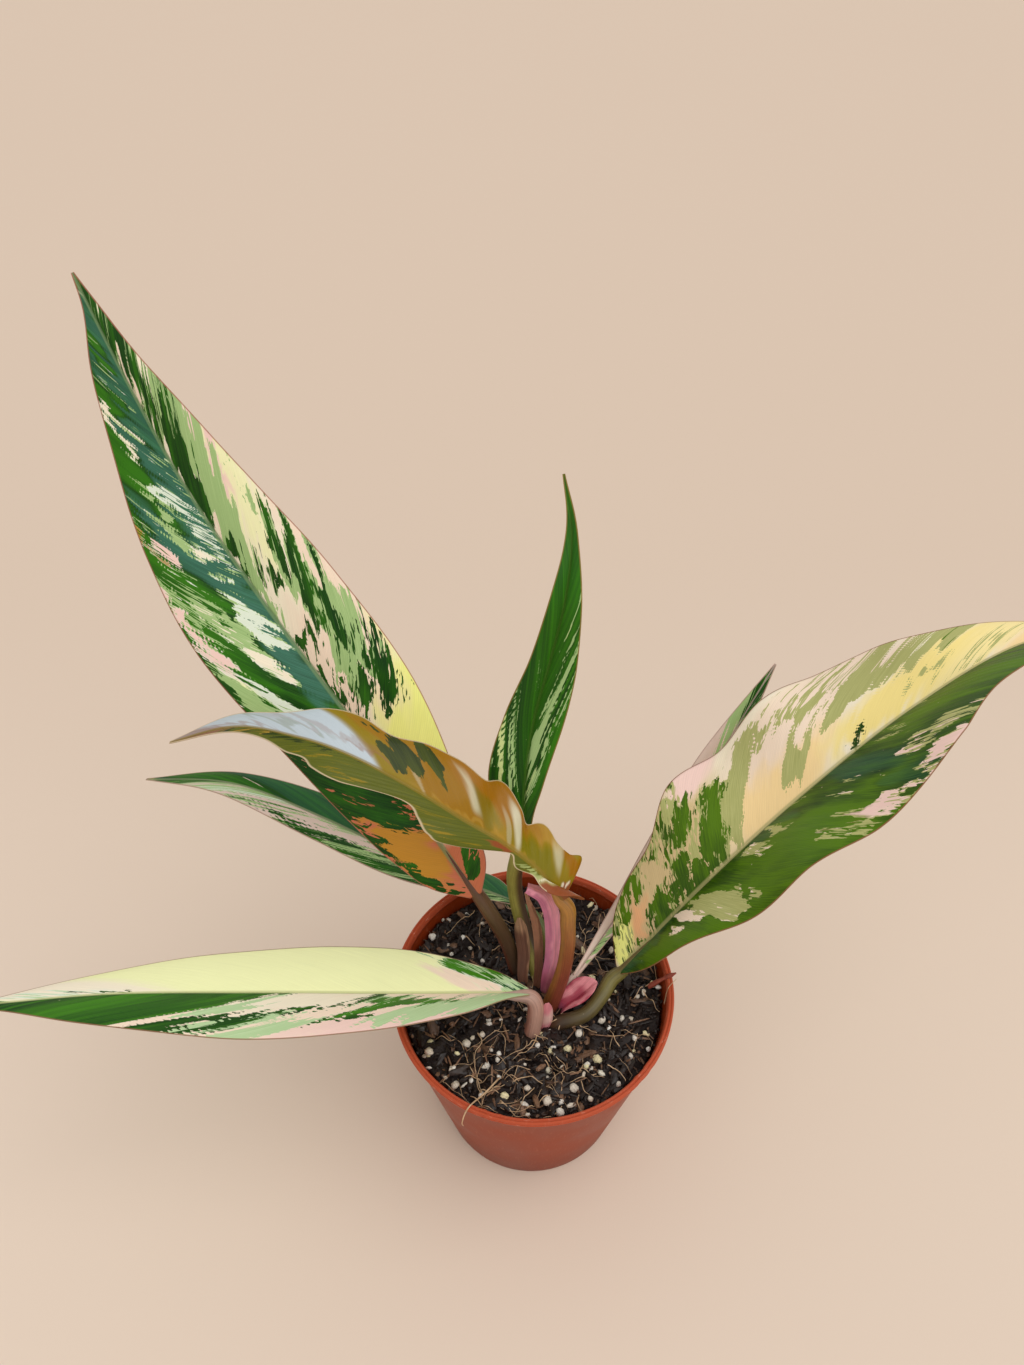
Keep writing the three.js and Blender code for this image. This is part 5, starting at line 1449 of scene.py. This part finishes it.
def rootlet(x, y, heading, length, radius, random):
    """A thin tube over the mix whose heading wanders, rising and dipping a little as it goes."""
    t = np.linspace(0, 1, ROOT_ROWS)
    bend = heading + random.uniform(-1.6, 1.6) * t + random.uniform(0.1, 0.5) * np.sin(
        random.uniform(3, 9) * t + random.uniform(0, 6))
    path_x = x + np.cumsum(np.cos(bend)) * length / ROOT_ROWS
    path_y = y + np.cumsum(np.sin(bend)) * length / ROOT_ROWS
    inward = np.minimum(1, ROOT_CLEAR / np.maximum(np.hypot(path_x, path_y), 1))
    path_x, path_y = path_x * inward, path_y * inward
    z = mix_height(path_x, path_y) + 1.2 + random.uniform(0.3, 2.6) * np.sin(np.pi * t)
    path = np.stack([path_x, path_y, z], axis=-1)
    return carried(path, radius * (1 - 0.6 * t), ROOT_SIDES)[0].reshape(-1, 3)


root_faces = tube_faces(ROOT_ROWS, ROOT_SIDES)
strands = []
for i in range(ROOTLETS):
    reach, angle = 50 * np.sqrt(random.uniform(0, 1)), random.uniform(0, 2 * np.pi)
    spot = (reach * np.cos(angle), reach * np.sin(angle))
    if i < TANGLE:
        spot = random.normal(TANGLE_PLACE, TANGLE_SPREAD)
    strands.append(rootlet(*spot, random.uniform(0, 2 * np.pi), random.uniform(6, 26),
                           random.uniform(0.1, 0.26), random))
root_numbers = root_faces + (np.arange(ROOTLETS) * ROOT_ROWS * ROOT_SIDES)[:, None, None]
add_piece("rootlets", np.vstack(strands), root_numbers.reshape(-1, 4), [root_look])

FIBRE = [(-14, -38, 88), (-20, -46, 91), (-25, -52.5, 95.6), (-27.3, -55.6, 94.6),
         (-28.5, -57.3, 90), (-28.2, -56, 84.5)]
HAIR = [(56, -6, 89), (57.5, -2, 94.5), (60.5, 0.5, 97), (61.6, 2.5, 94.5)]
for name, points, radius in (("lip_fibre", FIBRE, 0.4), ("lip_hair", HAIR, 0.2)):
    t = np.linspace(0, 1, ROOT_ROWS)
    strand = carried(through(points, t), radius * (1 - 0.5 * t), ROOT_SIDES)[0]
    add_piece(name, strand.reshape(-1, 3), root_faces, [root_look])

TWIG = [(50, 2, 89), (54.5, 3, 92.5), (58.5, 3.6, 95.2), (61.5, 4.4, 96.4)]
TWIG_ROWS = 30
TWIG_SIDES = 12
twig_look = grained("twig", 600, 3, srgb(104, 42, 34), srgb(176, 88, 66), 0.3,
                    Roughness=0.6, Specular_IOR_Level=0.3)[0]
t = np.linspace(0, 1, TWIG_ROWS)
twig = carried(through(TWIG, t), 1.0 + 0.18 * np.sin(11 * t) - 0.5 * t ** 3, TWIG_SIDES)[0]
add_piece("twig", twig.reshape(-1, 3), tube_faces(TWIG_ROWS, TWIG_SIDES), [twig_look])
print(ROOTLETS, "rootlets, a fibre and a hair on the lip, and a twig")


# %% [markdown]
# ## The pot
#
# A turned body of thin red-brown plastic. The lip is two narrow beads with a groove between them,
# nicked in a few places. Six holes are cut through its floor by a Boolean that is applied here.

# %% Pot
POT_COLUMNS = 288
LIP_START = 92.2
LIP_TOP = 95
POT_OUTLINE = [(AXIS, 0), (40.5, 0), (41.5, 1), (58.6, LIP_START), (59.7, 92.3), (60, 92.7),
               (60, 93.2), (59.6, 93.5), (59.6, 93.7), (60, 94), (60, 94.5), (59.5, LIP_TOP),
               (59.1, LIP_TOP), (58.8, 94.6), (58.6, 94.6), (58.3, LIP_TOP), (57.9, LIP_TOP),
               (57.4, 94.4), (56.9, 92.5), (56.9, 91), (40.35, 2.2), (AXIS, 2.2)]
NICKS = {250: 0.3, 256: 0.22, 315: 0.3, 322: 0.2, 34: 0.25, 120: 0.3}   # degrees: mm deep
NICK_WIDTH = 1.1                # degrees
OUT_OF_ROUND = 0.05             # mm


def pot_wobble(angle, height):
    """Nicks in the lip's outer beads, each depth * exp(-(degrees away / width)^2), and a wall that
    is a hair out of round in three lobes."""
    nicks = sum(-depth * np.exp(-(np.degrees(angle - math.radians(at)) / NICK_WIDTH) ** 2)
                for at, depth in NICKS.items())
    on_lip = (height > LIP_START + 0.2) * (height < LIP_TOP - 0.2)
    return nicks * on_lip + OUT_OF_ROUND * np.sin(3 * angle + 1)


pot_line = split(rounded(POT_OUTLINE, 0.35, 4), 3)
pot_points = turned(pot_line, POT_COLUMNS, pot_wobble)
print("pot outline has", len(pot_line), "points")

# %% Pot plastic
pot_look = Look("pot plastic", Specular_IOR_Level=0.12)
pot_place = pot_look.place()
pot_height = pot_look.parts(pot_place)[2]
pot_cloud = pot_look.noise(pot_place, 28, 3)
pot_drawn = pot_look.noise(pot_look.scaled(pot_place, (900, 900, 30)), 1.0, 2)
pot_rubbed = pot_look.noise(pot_look.scaled(pot_place, (260, 260, 2600)), 1.0, 3)
rub = pot_look.math("MULTIPLY", pot_look.smooth(pot_rubbed, 0.62, 0.74),
                    pot_look.smooth(pot_height, 0.088, 0.094))
dirt = pot_look.math("MULTIPLY", specks(pot_look, 3.0, 0.3, 0.16),
                     pot_look.smooth(pot_height, 0.06, 0.09))
lip_height = [(LIP_START + above) * MM for above in (-0.1, 0.4)]
pot_tone = pot_look.mix(pot_look.smooth(pot_cloud, 0.3, 0.7), srgb(137, 50, 18), srgb(152, 60, 26))
for share, colour in (
        (pot_look.smooth(pot_height, 0.05, 0.0, 0.0, 0.4), srgb(104, 48, 36)),      # shaded foot
        # Painted light: the lip is lighter where its beads catch the light.
        (pot_look.smooth(pot_height, *lip_height, 0.0, 0.8), srgb(194, 88, 58)),    # lighter lip
        (pot_look.smooth(pot_drawn, 0.55, 0.8, 0.0, 0.18), srgb(206, 130, 100)),    # drawing lines
        (pot_look.math("MULTIPLY", rub, 0.5), srgb(232, 176, 150)),                 # rubbed places
        (pot_look.math("MULTIPLY", dirt, 0.75), srgb(56, 34, 28))):                 # specks of mix
    pot_tone = pot_look.mix(share, pot_tone, colour)
pot_look.link("Base Color", pot_tone)
pot_look.link("Roughness", pot_look.smooth(pot_cloud, 0.3, 0.7, 0.34, 0.46))
pot_look.bump(pot_look.noise(pot_place, 1800, 2), 0.05 * MM, 0.5)
pot = add_piece("fine_pot", pot_points.reshape(-1, 3), tube_faces(len(pot_line), POT_COLUMNS),
                [pot_look], "pot")
print("pot has", len(pot.data.polygons), "faces")

# %% Drainage holes
DRAIN_HOLES = 6
DRAIN_CIRCLE = 28
DRAIN_RADIUS = 4
DRILL_SIDES = 32
DRILL_REACH = (-2, 5)           # mm, from below the floor to above it
drill_faces = tube_faces(2, DRILL_SIDES)
drill_angle = 2 * np.pi * np.arange(DRAIN_HOLES) / DRAIN_HOLES
drill = turned([(DRAIN_RADIUS, height) for height in DRILL_REACH], DRILL_SIDES).reshape(-1, 3)
centres = DRAIN_CIRCLE * np.stack(
    [np.cos(drill_angle), np.sin(drill_angle), 0 * drill_angle], axis=-1)
drill_numbers = drill_faces + (np.arange(DRAIN_HOLES) * len(drill))[:, None, None]
drills = bpy.data.meshes.new("drills")
drills.from_pydata(((drill + centres[:, None]).reshape(-1, 3) * MM).tolist(), [],
                   drill_numbers.reshape(-1, 4).tolist())
cutter = bpy.data.objects.new("drills", drills)
bpy.context.scene.collection.objects.link(cutter)
cut = pot.modifiers.new("drain holes", "BOOLEAN")
cut.object = cutter
cut.operation = "DIFFERENCE"
seen = pot.evaluated_get(bpy.context.evaluated_depsgraph_get())
holed = bpy.data.meshes.new_from_object(seen)
pot.modifiers.clear()
pot.data = holed
bpy.data.objects.remove(cutter)
print("pot has", len(holed.polygons), "faces after the holes were cut")

# %% [markdown]
# ## Sizes
#
# The two boxes, that of the solids and that of the finished plant, are compared, and their
# difference is printed.

# %% Sizes and finish
seen_low, seen_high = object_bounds()
growth = [round((b - a) / MM, 1) for a, b in zip((*cad_low, *cad_high), (*seen_low, *seen_high))]
print("visual box minus solid box, mm:", growth)
